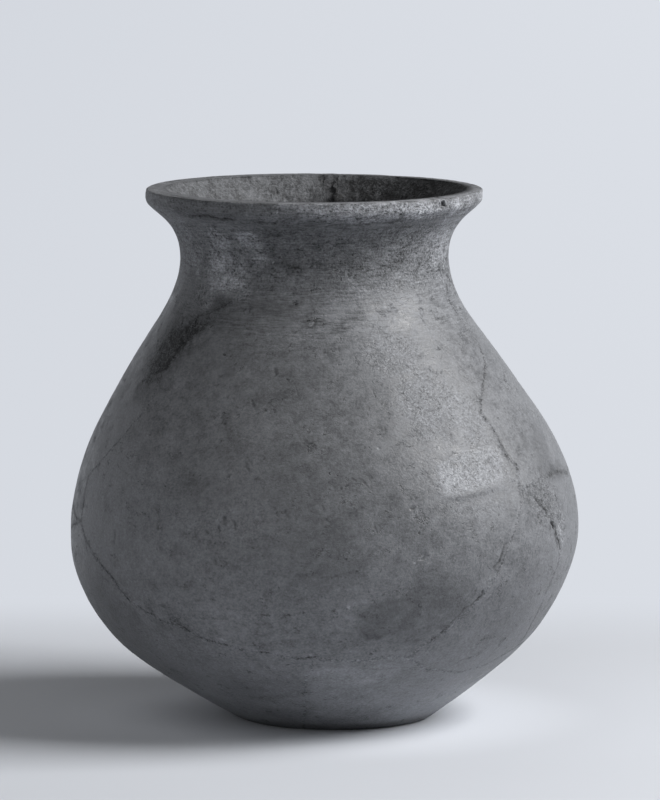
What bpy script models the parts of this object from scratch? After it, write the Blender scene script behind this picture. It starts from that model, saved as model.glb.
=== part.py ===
# A hand-built, burnished clay jar that was broken and mended from its sherds.
# Each sherd is one object, and neighbours face each other across a join of one even width.
# The jar stands on Z = 0. Angles are in degrees round its axis: 0 is the front, towards -Y,
# and they grow towards +X, the jar's right side in a view from the front.

import math
import random

import bmesh
import bpy
import numpy as np
from mathutils import Vector
from mathutils.geometry import delaunay_2d_cdt

# Outer form, in metres
JAR_HEIGHT = 0.234
BASE_RADIUS = 0.0425
BELLY_RADIUS = 0.1120
BELLY_HEIGHT = 0.084
NECK_RADIUS = 0.0588
NECK_BELOW_RIM = 0.029
RIM_FLARE = 0.0152

# The lip is a bead with a flattened top, thicker and deeper on the jar's left side than on its right
LIP_THICKNESS_LEFT = 0.0096
LIP_THICKNESS_RIGHT = 0.0078
LIP_DEPTH_LEFT = 0.0078
LIP_DEPTH_RIGHT = 0.0072
# How round the top of the bead is: 1 makes it half an oval, and 0 would make it a box
LIP_TOP_LEFT_SHARE = 0.20
LIP_TOP_RIGHT_SHARE = 0.26

# Wall and floor of the jar, and the length up the wall over which the thick floor thins out
WALL_THICKNESS = 0.0062
FLOOR_THICKNESS = 0.0085
FOOT_BLEND = 0.035

# How far the foot stands to the right of the belly, and the rim to its left, and how unround it is
FOOT_SHIFT = 0.0041
RIM_SHIFT = -0.00435
OUT_OF_ROUND = 0.0008

# Width of the join between two sherds
JOIN_GAP = 0.0003

# The neck's narrowest place keeps its distance under the rim, and the rim its overhang past the neck
NECK_HEIGHT = JAR_HEIGHT - NECK_BELOW_RIM
RIM_RADIUS = NECK_RADIUS + RIM_FLARE

# Shares of the height and of the widening, from the foot to the belly
LOWER_WALL_SHARES = ((0.12, 0.229), (0.26, 0.469), (0.45, 0.733), (0.67, 0.905), (0.87, 0.986))
# Shares of the height and of the narrowing, from the belly to the neck
SHOULDER_SHARES = (
    (0.07, 0.010),
    (0.20, 0.071),
    (0.33, 0.185),
    (0.46, 0.350),
    (0.59, 0.538),
    (0.71, 0.722),
    (0.81, 0.875),
    (0.885, 0.954),
    (0.945, 0.990),
)
# Shares of the height and of the widening, from the neck to the underside of the lip
THROAT_SHARES = ((0.25, 0.055), (0.476, 0.20), (0.70, 0.47), (0.86, 0.76))
# Shares of the jar's height, with the shares of the foot's and the rim's shift there
FOOT_SHIFT_SHARES = (
    (0, 1),
    (0.034, 0.63),
    (0.08, 0.10),
    (0.15, -0.30),
    (0.25, -0.29),
    (0.34, 0.01),
    (0.5, 0.05),
    (0.7, 0),
    (1, 0),
)
RIM_SHIFT_SHARES = (
    (0, 0),
    (0.36, 0),
    (0.47, 0.04),
    (0.73, 0.88),
    (0.79, 1),
    (0.85, 1.01),
    (0.925, 1.06),
    (1, 1),
)

# Where the lip's bead begins and ends round its own middle, in degrees, outside and inside
LIP_OUTSIDE_FROM = -35
LIP_INSIDE_FROM = 140
LIP_CREST = 90

# Facets: columns round the jar, and rows up the wall against the share of the way up it
COLUMNS = 60
WALL_ROWS = (0, 12, 23, 34)
WALL_ROW_SHARES = (0, 0.41, 0.78, 1)
LIP_ROWS = 5
ROWS = WALL_ROWS[-1] + LIP_ROWS
FLOOR_RING_SHARES = ((0.80, 36), (0.55, 24), (0.30, 12))
FINE_STEPS = 8
SMOOTH_BELOW = 25

# A fracture wanders off its straight course by up to this share of a facet
RAGGED_SHARE = 0.13
CLEARANCE_SHARE = 0.5
SHARPEST_MITRE = 2.5
TINY_SHARE = 0.001
SEED = 11

# Places where joins meet: the angle, and the level. A level from 0 to 1 is a share of the jar's
# height on its outside. A level below 0 is on the underside, at -1 in the middle of the foot.
MEETING_SHARES = {
    "rim_left": (-56, 1),
    "rim_right": (51, 1),
    "rim_back": (172, 1),
    "neck_left": (-53, 0.778),
    "neck_right": (71, 0.855),
    "neck_back": (171, 0.838),
    "shoulder_right": (76, 0.842),
    "shoulder_back": (138, 0.818),
    "belly_left": (-73, 0.389),
    "belly_right": (51, 0.466),
    "belly_back_right": (128, 0.483),
    "belly_back": (152, 0.470),
    "belly_back_left": (-163, 0.436),
    "base_front": (-2, 0.175),
    "base_front_right": (23, 0.169),
    "base_right": (70, 0.155),
    "base_back": (158, 0.260),
    "base_heel": (176, 0.285),
}

# Each join: its first meeting place, the places that it passes, and its last meeting place
JOIN_SHARES = {
    "rim_left_join": (
        "rim_left", (-57, 0.945), (-54, 0.91), (-58, 0.872), (-61, 0.829), (-58, 0.80), "neck_left",
    ),
    "rim_right_join": ("rim_right", (54, 0.965), (60, 0.92), (64, 0.889), "neck_right"),
    "rim_back_join": ("rim_back", (170, 0.95), (173, 0.90), "neck_back"),
    "neck_front_join": (
        "neck_left", (-47, 0.781), (-40, 0.799), (-35, 0.812), (-30, 0.838), (-22, 0.863),
        (-16, 0.876), (-5, 0.874), (10, 0.878), (20, 0.876), (25, 0.885), (34, 0.868), (40, 0.859),
        (56, 0.85), "neck_right",
    ),
    "neck_side_join": ("neck_right", "shoulder_right"),
    "neck_back_right_join": ("shoulder_right", (90, 0.815), (105, 0.806), (122, 0.822), "shoulder_back"),
    "neck_back_join": ("shoulder_back", (155, 0.812), "neck_back"),
    "left_shoulder_join": (
        "belly_left", (-74, 0.444), (-74, 0.474), (-70, 0.495), (-65, 0.53), (-60, 0.573),
        (-56, 0.611), (-55, 0.65), (-56, 0.671), (-54, 0.718), (-51, 0.744), "neck_left",
    ),
    "right_shoulder_join": (
        "shoulder_right", (68, 0.803), (70, 0.765), (72, 0.722), (67, 0.688), (61, 0.667),
        (52, 0.628), (49, 0.607), (51, 0.575), (51, 0.535), (53, 0.505), "belly_right",
    ),
    "back_left_join": ("neck_back", (168, 0.78), (175, 0.70), (-176, 0.62), (-172, 0.55), "belly_back_left"),
    "back_right_join": ("shoulder_back", (141, 0.74), (133, 0.66), (136, 0.58), "belly_back_right"),
    "right_belly_join": (
        "belly_right", (60, 0.479), (69, 0.483), (78, 0.474), (91, 0.479), (110, 0.49), "belly_back_right",
    ),
    "back_belly_join": ("belly_back_right", "belly_back"),
    "back_left_belly_join": ("belly_back", (175, 0.455), "belly_back_left"),
    "left_belly_join": (
        "belly_back_left", (-140, 0.425), (-120, 0.435), (-103, 0.425), (-88, 0.408), "belly_left",
    ),
    "lower_front_join": (
        "belly_right", (48, 0.41), (44, 0.363), (41, 0.312), (37, 0.265), (32, 0.226), (26, 0.192),
        "base_front_right",
    ),
    "lower_right_join": (
        "belly_right", (56, 0.449), (61, 0.415), (64, 0.375), (67, 0.333), (65, 0.265), (66, 0.205),
        "base_right",
    ),
    "lower_back_join": ("belly_back", (149, 0.40), (155, 0.33), "base_back"),
    "base_left_join": (
        "belly_left", (-68, 0.355), (-63, 0.33), (-57, 0.303), (-51, 0.261), (-45, 0.243),
        (-36, 0.226), (-29, 0.202), (-20, 0.189), (-11, 0.178), "base_front",
    ),
    "base_front_join": ("base_front", (8, 0.168), (16, 0.171), "base_front_right"),
    "base_right_join": ("base_front_right", (30, 0.139), (40, 0.127), (52, 0.124), (61, 0.132), "base_right"),
    "base_side_join": ("base_right", (88, 0.17), (105, 0.19), (120, 0.21), (140, 0.235), "base_back"),
    "base_back_join": ("base_back", "base_heel"),
    "base_back_left_join": (
        "base_heel", (-165, 0.295), (-140, 0.31), (-118, 0.33), (-100, 0.348), (-86, 0.36), "belly_left",
    ),
    "foot_join": (
        "base_front", (-5, 0.124), (-7, 0.081), (-13, 0.03), (-18, 0), (-17, -0.35), (-28, -0.68),
        (-116, -0.89), (177, -0.6), (168, -0.2), (170, 0), (170, 0.06), (174, 0.14), (176, 0.22),
        "base_heel",
    ),
}

# Each sherd: the angle and the level of a place well inside it, and the grey of its outside
SHERD_SHARES = {
    "neck_front_sherd": ((0, 0.93), 0.185),
    "neck_right_sherd": ((110, 0.92), 0.195),
    "left_shoulder_sherd": ((-110, 0.7), 0.170),
    "body_front_sherd": ((-10, 0.5), 0.185),
    "right_shoulder_sherd": ((95, 0.65), 0.200),
    "back_shoulder_sherd": ((155, 0.65), 0.185),
    "right_side_sherd": ((100, 0.33), 0.190),
    "lower_right_sherd": ((50, 0.25), 0.180),
    "lower_back_sherd": ((-160, 0.37), 0.175),
    "base_left_sherd": ((-60, 0.15), 0.170),
    "base_right_sherd": ((60, 0.06), 0.180),
}
BURNISHED_ROUGHNESS = 0.5


def clear_scene():
    for thing in list(bpy.data.objects):
        bpy.data.objects.remove(thing, do_unlink=True)


def natural_spline(knots, values, wanted):
    # A cubic through every knot that bends evenly and ends straight
    knots = np.asarray(knots, float)
    values = np.asarray(values, float)
    wanted = np.asarray(wanted, float)
    gaps = np.diff(knots)
    slopes = np.diff(values, axis=0) / gaps[:, None]
    system = np.eye(len(knots))
    pulls = np.zeros_like(values)
    for i in range(1, len(knots) - 1):
        system[i, i - 1 : i + 2] = gaps[i - 1], 2 * (gaps[i - 1] + gaps[i]), gaps[i]
        pulls[i] = 6 * (slopes[i] - slopes[i - 1])
    bends = np.linalg.solve(system, pulls)
    span = np.clip(np.searchsorted(knots, wanted, side="right") - 1, 0, len(gaps) - 1)
    width = gaps[span][:, None]
    before = (wanted - knots[span])[:, None]
    after = (knots[span + 1] - wanted)[:, None]
    cubic = (bends[span] * after**3 + bends[span + 1] * before**3) / (6 * width)
    start = (values[span] / width - bends[span] * width / 6) * after
    end = (values[span + 1] / width - bends[span + 1] * width / 6) * before
    return cubic + start + end


def smooth_share(share):
    share = np.clip(share, 0, 1)
    return share * share * (3 - 2 * share)


def outer_stations(lip):
    # Radius and height of the places that the outside passes, from the foot's edge to the lip
    stations = [(BASE_RADIUS, 0)]
    for up, out in LOWER_WALL_SHARES:
        stations.append((BASE_RADIUS + out * (BELLY_RADIUS - BASE_RADIUS), up * BELLY_HEIGHT))
    stations.append((BELLY_RADIUS, BELLY_HEIGHT))
    for up, inward in SHOULDER_SHARES:
        radius = BELLY_RADIUS - inward * (BELLY_RADIUS - NECK_RADIUS)
        stations.append((radius, BELLY_HEIGHT + up * (NECK_HEIGHT - BELLY_HEIGHT)))
    stations.append((NECK_RADIUS, NECK_HEIGHT))
    under_radius, under_height = lip[0]
    for up, out in THROAT_SHARES:
        radius = NECK_RADIUS + out * (under_radius - NECK_RADIUS)
        stations.append((radius, NECK_HEIGHT + up * (under_height - NECK_HEIGHT)))
    stations.append((under_radius, under_height))
    return np.array(stations)


def lip_arc(lip, start):
    # The bead of the lip, from the given angle round its middle up to its crest
    thickness, depth, top_share = lip
    angles = np.radians(np.linspace(start, LIP_CREST, LIP_ROWS * FINE_STEPS + 1))
    middle = np.array([RIM_RADIUS - thickness / 2, JAR_HEIGHT - depth / 2])
    turned = np.stack([np.cos(angles), np.sin(angles)], axis=1)
    flattened = np.sign(turned) * np.abs(turned) ** top_share
    bead = np.where(turned[:, 1:] > 0, flattened, turned)
    return middle + bead * np.array([thickness, depth]) / 2


def wall_section(lip):
    # Outer and inner (radius, height) of the wall, at FINE_STEPS places in each row of facets
    lip_outside = lip_arc(lip, LIP_OUTSIDE_FROM)
    lip_inside = lip_arc(lip, LIP_INSIDE_FROM)
    stations = outer_stations(lip_outside)
    steps = np.hypot(*np.diff(stations, axis=0).T)
    knots = np.concatenate([[0], np.cumsum(steps)])
    rows = np.arange(WALL_ROWS[-1] * FINE_STEPS + 1) / FINE_STEPS
    along = np.interp(rows, WALL_ROWS, WALL_ROW_SHARES) * knots[-1]
    outside = natural_spline(knots, stations, along)
    nudge = TINY_SHARE * knots[-1]
    ahead = natural_spline(knots, stations, np.minimum(along + nudge, knots[-1]))
    behind = natural_spline(knots, stations, np.maximum(along - nudge, 0))
    course = (ahead - behind) / np.hypot(*(ahead - behind).T)[:, None]
    outward = np.stack([course[:, 1], -course[:, 0]], axis=1)
    through = lip_outside[0] - lip_inside[0]
    through /= np.hypot(*through)
    neck_rows = (rows - WALL_ROWS[-2]) / (WALL_ROWS[-1] - WALL_ROWS[-2])
    turned = smooth_share(neck_rows)[:, None]
    outward = outward * (1 - turned) + through * turned
    outward /= np.hypot(*outward.T)[:, None]
    thinned = smooth_share(along / FOOT_BLEND)
    thickness = FLOOR_THICKNESS + (WALL_THICKNESS - FLOOR_THICKNESS) * thinned
    lip_meets = smooth_share(2 * neck_rows - 1)
    lip_width = np.hypot(*(lip_outside[0] - lip_inside[0]))
    thickness += (lip_width - thickness) * lip_meets
    inside = outside - outward * thickness[:, None]
    inside[:, 1] = np.maximum(inside[:, 1], FLOOR_THICKNESS)
    outside = np.concatenate([outside, lip_outside[1:]])
    inside = np.concatenate([inside, lip_inside[1:]])
    return np.stack([outside, inside])


def sideways(height):
    # How far the jar's middle stands to the right at a height
    share = height / JAR_HEIGHT
    foot_knots, foot_shares = zip(*FOOT_SHIFT_SHARES)
    rim_knots, rim_shares = zip(*RIM_SHIFT_SHARES)
    foot = natural_spline(foot_knots, np.array(foot_shares, float)[:, None], [share])[0, 0]
    rim = natural_spline(rim_knots, np.array(rim_shares, float)[:, None], [share])[0, 0]
    return foot * FOOT_SHIFT + rim * RIM_SHIFT


def chart_radius(row):
    # The wall is drawn flat as a disc: each row lies one facet further out than the row below it,
    # so that a square facet of the wall is drawn square. The foot is the disc of radius 1.
    return math.exp(row * math.tau / COLUMNS)


def chart_step(radius):
    return max(radius, 1) * math.tau / COLUMNS


def chart_point(angle, radius):
    turn = math.radians(angle)
    return Vector((math.sin(turn), -math.cos(turn))) * radius


def level_radius(level, section):
    # Radius on the chart of a level, as MEETING_SHARES gives it
    if level <= 0:
        return 1 + level
    heights = section[0, :, 1]
    row = np.interp(level * JAR_HEIGHT, heights, np.arange(len(heights))) / FINE_STEPS
    return chart_radius(row)


def place_on_wall(point, face, left_section, right_section):
    # Where a point of the chart lies on the outside (face 0) or the inside (face 1) of the wall
    radius = point.length
    turn = math.atan2(point.x, -point.y)
    leftness = (1 - math.sin(turn)) / 2
    if radius <= 1:
        edge = left_section[face, 0]
        flat = Vector((edge[0] * radius, edge[1]))
    else:
        row = math.log(radius) * COLUMNS / math.tau
        fine = min(row, ROWS) * FINE_STEPS
        low = min(int(fine), ROWS * FINE_STEPS - 1)
        section = left_section * leftness + right_section * (1 - leftness)
        share = fine - low
        flat = Vector(section[face, low] * (1 - share) + section[face, low + 1] * share)
    wobble = (math.cos(3 * turn) + math.sin(2 * turn)) / 2
    out = flat.x * (1 + wobble * OUT_OF_ROUND / BELLY_RADIUS)
    return Vector((out * math.sin(turn) + sideways(flat.y), -out * math.cos(turn), flat.y))


def join_course(places, section, wander):
    # The points of a join on the chart, a facet apart, wandering as a fracture does
    corners = []
    for place in places:
        angle, level = MEETING_SHARES[place] if isinstance(place, str) else place
        corners.append(chart_point(angle, level_radius(level, section)))
    course = [corners[0]]
    for start, end in zip(corners, corners[1:]):
        run = end - start
        across = Vector((-run.y, run.x)).normalized()
        count = max(1, round(run.length / chart_step((start + end).length / 2)))
        for i in range(1, count + 1):
            point = start + run * (i / count)
            if i < count:
                ragged = wander.uniform(-RAGGED_SHARE, RAGGED_SHARE)
                point = point + across * ragged * chart_step(point.length)
            course.append(point)
    return course


def grid_points():
    points = [Vector((0, 0))]
    for radius, columns in FLOOR_RING_SHARES:
        points += [chart_point(360 * i / columns, radius) for i in range(columns)]
    for row in range(ROWS + 1):
        points += [chart_point(360 * i / COLUMNS, chart_radius(row)) for i in range(COLUMNS)]
    return points


def distance_to_run(point, start, end):
    run = end - start
    share = max(0, min(1, (point - start).dot(run) / run.length_squared))
    return (point - start - run * share).length


def clear_of_joins(points, courses):
    # Grid points that stand too close to a join are left out, so that no facet is a sliver
    kept = []
    runs = [run for course in courses for run in zip(course, course[1:])]
    starts = np.array([run[0] for run in runs])
    reach = np.array([(run[1] - run[0]).length for run in runs])
    for point in points:
        room = CLEARANCE_SHARE * chart_step(point.length)
        near = np.flatnonzero(np.hypot(*(starts - np.array(point)).T) < reach + room)
        if all(distance_to_run(point, *runs[i]) > room for i in near):
            kept.append(point)
    return kept


def facets_of_chart(courses):
    # One set of triangles over the whole chart, with every join along its edges
    points = clear_of_joins(grid_points(), courses)
    numbers = {}
    edges = []
    for course in courses:
        track = []
        for point in course:
            key = (round(point.x, 6), round(point.y, 6))
            if key not in numbers:
                numbers[key] = len(points)
                points.append(point)
            track.append(numbers[key])
        edges += list(zip(track, track[1:]))
    tolerance = TINY_SHARE * chart_step(1)
    found = delaunay_2d_cdt(points, edges, [], 0, tolerance)
    spots, all_edges, triangles, _, edge_sources, _ = found
    joins = {frozenset(edge) for edge, source in zip(all_edges, edge_sources) if source}
    return spots, triangles, joins


def sherd_regions(spots, triangles, joins, section):
    # Triangles are gathered outwards from each sherd's own place until a join stops them
    beside = {}
    for number, triangle in enumerate(triangles):
        for i in range(3):
            edge = frozenset((triangle[i], triangle[i - 1]))
            beside.setdefault(edge, []).append(number)
    middles = np.array([sum((spots[i] for i in t), Vector((0, 0))) / 3 for t in triangles])
    regions = {}
    for name, ((angle, level), _) in SHERD_SHARES.items():
        start = np.array(chart_point(angle, level_radius(level, section)))
        waiting = [int(np.argmin(np.hypot(*(middles - start).T)))]
        found = set(waiting)
        while waiting:
            triangle = triangles[waiting.pop()]
            for i in range(3):
                edge = frozenset((triangle[i], triangle[i - 1]))
                if edge in joins:
                    continue
                for other in beside[edge]:
                    if other not in found:
                        found.add(other)
                        waiting.append(other)
        regions[name] = [triangles[i] for i in sorted(found)]
    return regions


def set_back(spots, region, joins, on_wall):
    # The sherd's own points on the chart, drawn back from each join by half its width
    inward = {}
    for triangle in region:
        for i in range(3):
            a, b, c = triangle[i - 1], triangle[i], triangle[i - 2]
            if frozenset((a, b)) not in joins:
                continue
            run = spots[b] - spots[a]
            normal = Vector((-run.y, run.x)).normalized()
            if normal.dot(spots[c] - spots[a]) < 0:
                normal.negate()
            for end in (a, b):
                inward.setdefault(end, []).append(normal)
    own = {i: spots[i] for triangle in region for i in triangle}
    crest = chart_radius(ROWS)
    for i, normals in inward.items():
        spot = spots[i]
        if len(normals) == 1:
            round_rim = Vector((-spot.y, spot.x)).normalized()
            mitre = round_rim / round_rim.dot(normals[0])
        else:
            mitre = (normals[0] + normals[1]) / max(1 + normals[0].dot(normals[1]), TINY_SHARE)
        mitre = mitre * min(1, SHARPEST_MITRE / mitre.length)
        probe = mitre * TINY_SHARE * chart_step(spot.length)
        real = (on_wall(spot + probe, 0) - on_wall(spot, 0)).length
        moved = spot + probe * (mitre.length * JOIN_GAP / 2 / real)
        if len(normals) == 1:
            moved = moved * (crest / moved.length)
        own[i] = moved
    return own


def fired_clay(name, grey):
    material = bpy.data.materials.new(name)
    material.use_nodes = True
    shader = material.node_tree.nodes["Principled BSDF"]
    shader.inputs["Base Color"].default_value = (grey, grey, grey, 1)
    shader.inputs["Roughness"].default_value = BURNISHED_ROUGHNESS
    shader.inputs["Metallic"].default_value = 0
    return material


def split_fracture(sherd, number, inner):
    # Both sherds of a join fold each facet of its fracture the same way, from the outer corner with
    # the lower number to the inner corner with the higher one, so that they stay parallel
    for face in [face for face in sherd.faces if len(face.verts) == 4]:
        outer_corners = [corner for corner in face.verts if corner not in inner]
        inner_corners = [corner for corner in face.verts if corner in inner]
        start = min(outer_corners, key=lambda corner: corner[number])
        end = max(inner_corners, key=lambda corner: corner[number])
        bmesh.utils.face_split(face, start, end)


def make_sherd(name, region, own, on_wall, grey):
    # The outer skin is laid out first and then extruded through the wall to its inner face
    mesh = bpy.data.meshes.new(name)
    sherd = bmesh.new()
    corners = {}
    chart = sherd.verts.layers.float_vector.new("chart")
    number = sherd.verts.layers.int.new("number")
    for i, spot in own.items():
        corners[i] = sherd.verts.new(on_wall(spot, 0))
        corners[i][chart] = spot.to_3d()
        corners[i][number] = i
    skin = [sherd.faces.new([corners[i] for i in triangle]) for triangle in region]
    extruded = bmesh.ops.extrude_face_region(sherd, geom=skin, use_keep_orig=True)
    inner = {part for part in extruded["geom"] if isinstance(part, bmesh.types.BMVert)}
    for corner in inner:
        corner.co = on_wall(corner[chart].to_2d(), 1)
    split_fracture(sherd, number, inner)
    bmesh.ops.remove_doubles(sherd, verts=sherd.verts, dist=TINY_SHARE * JOIN_GAP)
    bmesh.ops.recalc_face_normals(sherd, faces=sherd.faces)
    middle = sum((corner.co for corner in sherd.verts), Vector()) / len(sherd.verts)
    bmesh.ops.translate(sherd, vec=-middle, verts=sherd.verts)
    sherd.verts.layers.float_vector.remove(chart)
    sherd.verts.layers.int.remove(number)
    sherd.to_mesh(mesh)
    sherd.free()
    mesh.shade_smooth()
    mesh.set_sharp_from_angle(angle=math.radians(SMOOTH_BELOW))
    mesh.materials.append(fired_clay(name + "_clay", grey))
    thing = bpy.data.objects.new(name, mesh)
    thing.location = middle
    bpy.context.scene.collection.objects.link(thing)
    return thing


def build_jar():
    clear_scene()
    left_section = wall_section((LIP_THICKNESS_LEFT, LIP_DEPTH_LEFT, LIP_TOP_LEFT_SHARE))
    right_section = wall_section((LIP_THICKNESS_RIGHT, LIP_DEPTH_RIGHT, LIP_TOP_RIGHT_SHARE))
    middle_section = (left_section + right_section) / 2

    def on_wall(point, face):
        return place_on_wall(point, face, left_section, right_section)

    wander = random.Random(SEED)
    courses = [join_course(places, middle_section, wander) for places in JOIN_SHARES.values()]
    spots, triangles, joins = facets_of_chart(courses)
    regions = sherd_regions(spots, triangles, joins, middle_section)
    jar = bpy.data.objects.new("jar", None)
    bpy.context.scene.collection.objects.link(jar)
    for name, region in regions.items():
        own = set_back(spots, region, joins, on_wall)
        make_sherd(name, region, own, on_wall, SHERD_SHARES[name][1]).parent = jar


build_jar()
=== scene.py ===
import math

import bpy
import numpy as np
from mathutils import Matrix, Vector, kdtree


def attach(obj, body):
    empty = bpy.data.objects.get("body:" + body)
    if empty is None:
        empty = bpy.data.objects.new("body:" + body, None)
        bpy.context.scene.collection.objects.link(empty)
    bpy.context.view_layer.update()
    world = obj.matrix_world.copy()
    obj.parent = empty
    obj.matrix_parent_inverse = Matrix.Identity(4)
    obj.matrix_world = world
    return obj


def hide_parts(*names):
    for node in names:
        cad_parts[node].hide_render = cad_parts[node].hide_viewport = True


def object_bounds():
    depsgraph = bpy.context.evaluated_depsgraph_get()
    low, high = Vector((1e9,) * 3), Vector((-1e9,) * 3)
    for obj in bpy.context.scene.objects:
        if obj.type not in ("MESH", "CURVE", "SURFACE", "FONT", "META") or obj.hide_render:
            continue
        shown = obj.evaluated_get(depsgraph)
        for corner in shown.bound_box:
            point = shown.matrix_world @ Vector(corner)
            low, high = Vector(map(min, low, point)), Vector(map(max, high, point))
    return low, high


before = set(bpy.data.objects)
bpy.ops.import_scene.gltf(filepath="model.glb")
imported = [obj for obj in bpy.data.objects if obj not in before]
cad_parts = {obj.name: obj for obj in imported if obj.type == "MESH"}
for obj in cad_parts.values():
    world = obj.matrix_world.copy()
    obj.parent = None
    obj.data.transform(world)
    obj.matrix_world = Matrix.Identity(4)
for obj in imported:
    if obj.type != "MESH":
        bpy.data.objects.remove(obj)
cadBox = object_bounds()
mm = 0.001

# the jar's wall

jarWall = {
    "height": 0.234,
    "baseRadius": 0.0425,
    "bellyRadius": 0.1120,
    "bellyHeight": 0.084,
    "neckRadius": 0.0588,
    "neckBelowRim": 0.029,
    "rimFlare": 0.0152,
    "lipLeft": (0.0096, 0.0078, 0.20),  # thickness and depth of the bead, and how round its top is
    "lipRight": (0.0078, 0.0072, 0.26),  # the same on the right
    "thickness": 0.0062,
    "floor": 0.0085,
    "footBlend": 0.035,
    "footShift": 0.0041,
    "rimShift": -0.00435,
    "outOfRound": 0.0008,
    "columns": 60,  # of the solids' facets round the jar, in rows up its wall
    "rows": (0, 12, 23, 34),
    "rowShares": (0, 0.41, 0.78, 1),
    "lipRows": 5,
    "fineSteps": 32,  # the smooth wall's steps in one row of the solids
    "groundRows": 4,  # as many rows of steps lie across the foot
    "courseParts": 1000,  # the wall's course is felt over one such part of its length
    "shiftSteps": 400,
    "lowerShares": ((0.12, 0.229), (0.26, 0.469), (0.45, 0.733), (0.67, 0.905), (0.87, 0.986)),
    "shoulderShares": (
        (0.07, 0.010), (0.20, 0.071), (0.33, 0.185), (0.46, 0.350), (0.59, 0.538),
        (0.71, 0.722), (0.81, 0.875), (0.885, 0.954), (0.945, 0.990),
    ),
    "throatShares": ((0.25, 0.055), (0.476, 0.20), (0.70, 0.47), (0.86, 0.76)),
    "footShiftShares": (
        (0, 1), (0.034, 0.63), (0.08, 0.10), (0.15, -0.30), (0.25, -0.29), (0.34, 0.01),
        (0.5, 0.05), (0.7, 0), (1, 0),
    ),
    "rimShiftShares": (
        (0, 0), (0.36, 0), (0.47, 0.04), (0.73, 0.88), (0.79, 1), (0.85, 1.01), (0.925, 1.06), (1, 1),
    ),
    "lipOutsideFrom": -35,
    "lipInsideFrom": 140,
    "lipCrest": 90,
    "footRounding": 0.0022,  # the worn corner of the foot
    "floorRounding": 0.009,  # the smeared corner inside
}
tiny = 1e-12  # keeps a division by a length of nothing from failing
tinySquare = 1e-16  # the same for a squared length
sameGap = 1e-7  # a corner that lies as near to both faces of the wall counts as outer
farOff = 1.0  # the distance given where nothing is near


def naturalSpline(knots, values, wanted):
    # a cubic through every knot that bends evenly and ends straight
    knots, values, wanted = (np.asarray(x, float) for x in (knots, values, wanted))
    gaps = np.diff(knots)
    slopes = np.diff(values, axis=0) / gaps[:, None]
    system = np.eye(len(knots))
    pulls = np.zeros_like(values)
    for i in range(1, len(knots) - 1):
        system[i, i - 1 : i + 2] = gaps[i - 1], 2 * (gaps[i - 1] + gaps[i]), gaps[i]
        pulls[i] = 6 * (slopes[i] - slopes[i - 1])
    bends = np.linalg.solve(system, pulls)
    span = np.clip(np.searchsorted(knots, wanted, side="right") - 1, 0, len(gaps) - 1)
    width = gaps[span][:, None]
    before = (wanted - knots[span])[:, None]
    after = (knots[span + 1] - wanted)[:, None]
    cubic = (bends[span] * after**3 + bends[span + 1] * before**3) / (6 * width)
    start = (values[span] / width - bends[span] * width / 6) * after
    end = (values[span + 1] / width - bends[span + 1] * width / 6) * before
    return cubic + start + end


def smooth(share):
    share = np.clip(share, 0, 1)
    return share * share * (3 - 2 * share)


def lipArc(lip, start):
    # (radius, height) along the bead of the lip, from an angle in degrees up to its crest
    thickness, depth, topRoundness = lip
    steps = jarWall["lipRows"] * jarWall["fineSteps"]
    turn = np.radians(np.linspace(start, jarWall["lipCrest"], steps + 1))
    rimRadius = jarWall["neckRadius"] + jarWall["rimFlare"]
    middle = np.array([rimRadius - thickness / 2, jarWall["height"] - depth / 2])
    turned = np.stack([np.cos(turn), np.sin(turn)], axis=1)
    flattened = np.sign(turned) * np.abs(turned) ** topRoundness
    return middle + np.where(turned[:, 1:] > 0, flattened, turned) * np.array([thickness, depth]) / 2


def roundCorner(track, corner, reach):
    # the points of a track near one of its points, eased round that corner
    gaps = np.hypot(*(track - track[corner]).T)
    near = np.flatnonzero(gaps < reach)
    first, last = near[0], near[-1]
    share = np.linspace(0, 1, last - first + 1)[:, None]
    bend = (1 - share) ** 2 * track[first] + 2 * share * (1 - share) * track[corner]
    track[first : last + 1] = bend + share**2 * track[last]


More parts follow.
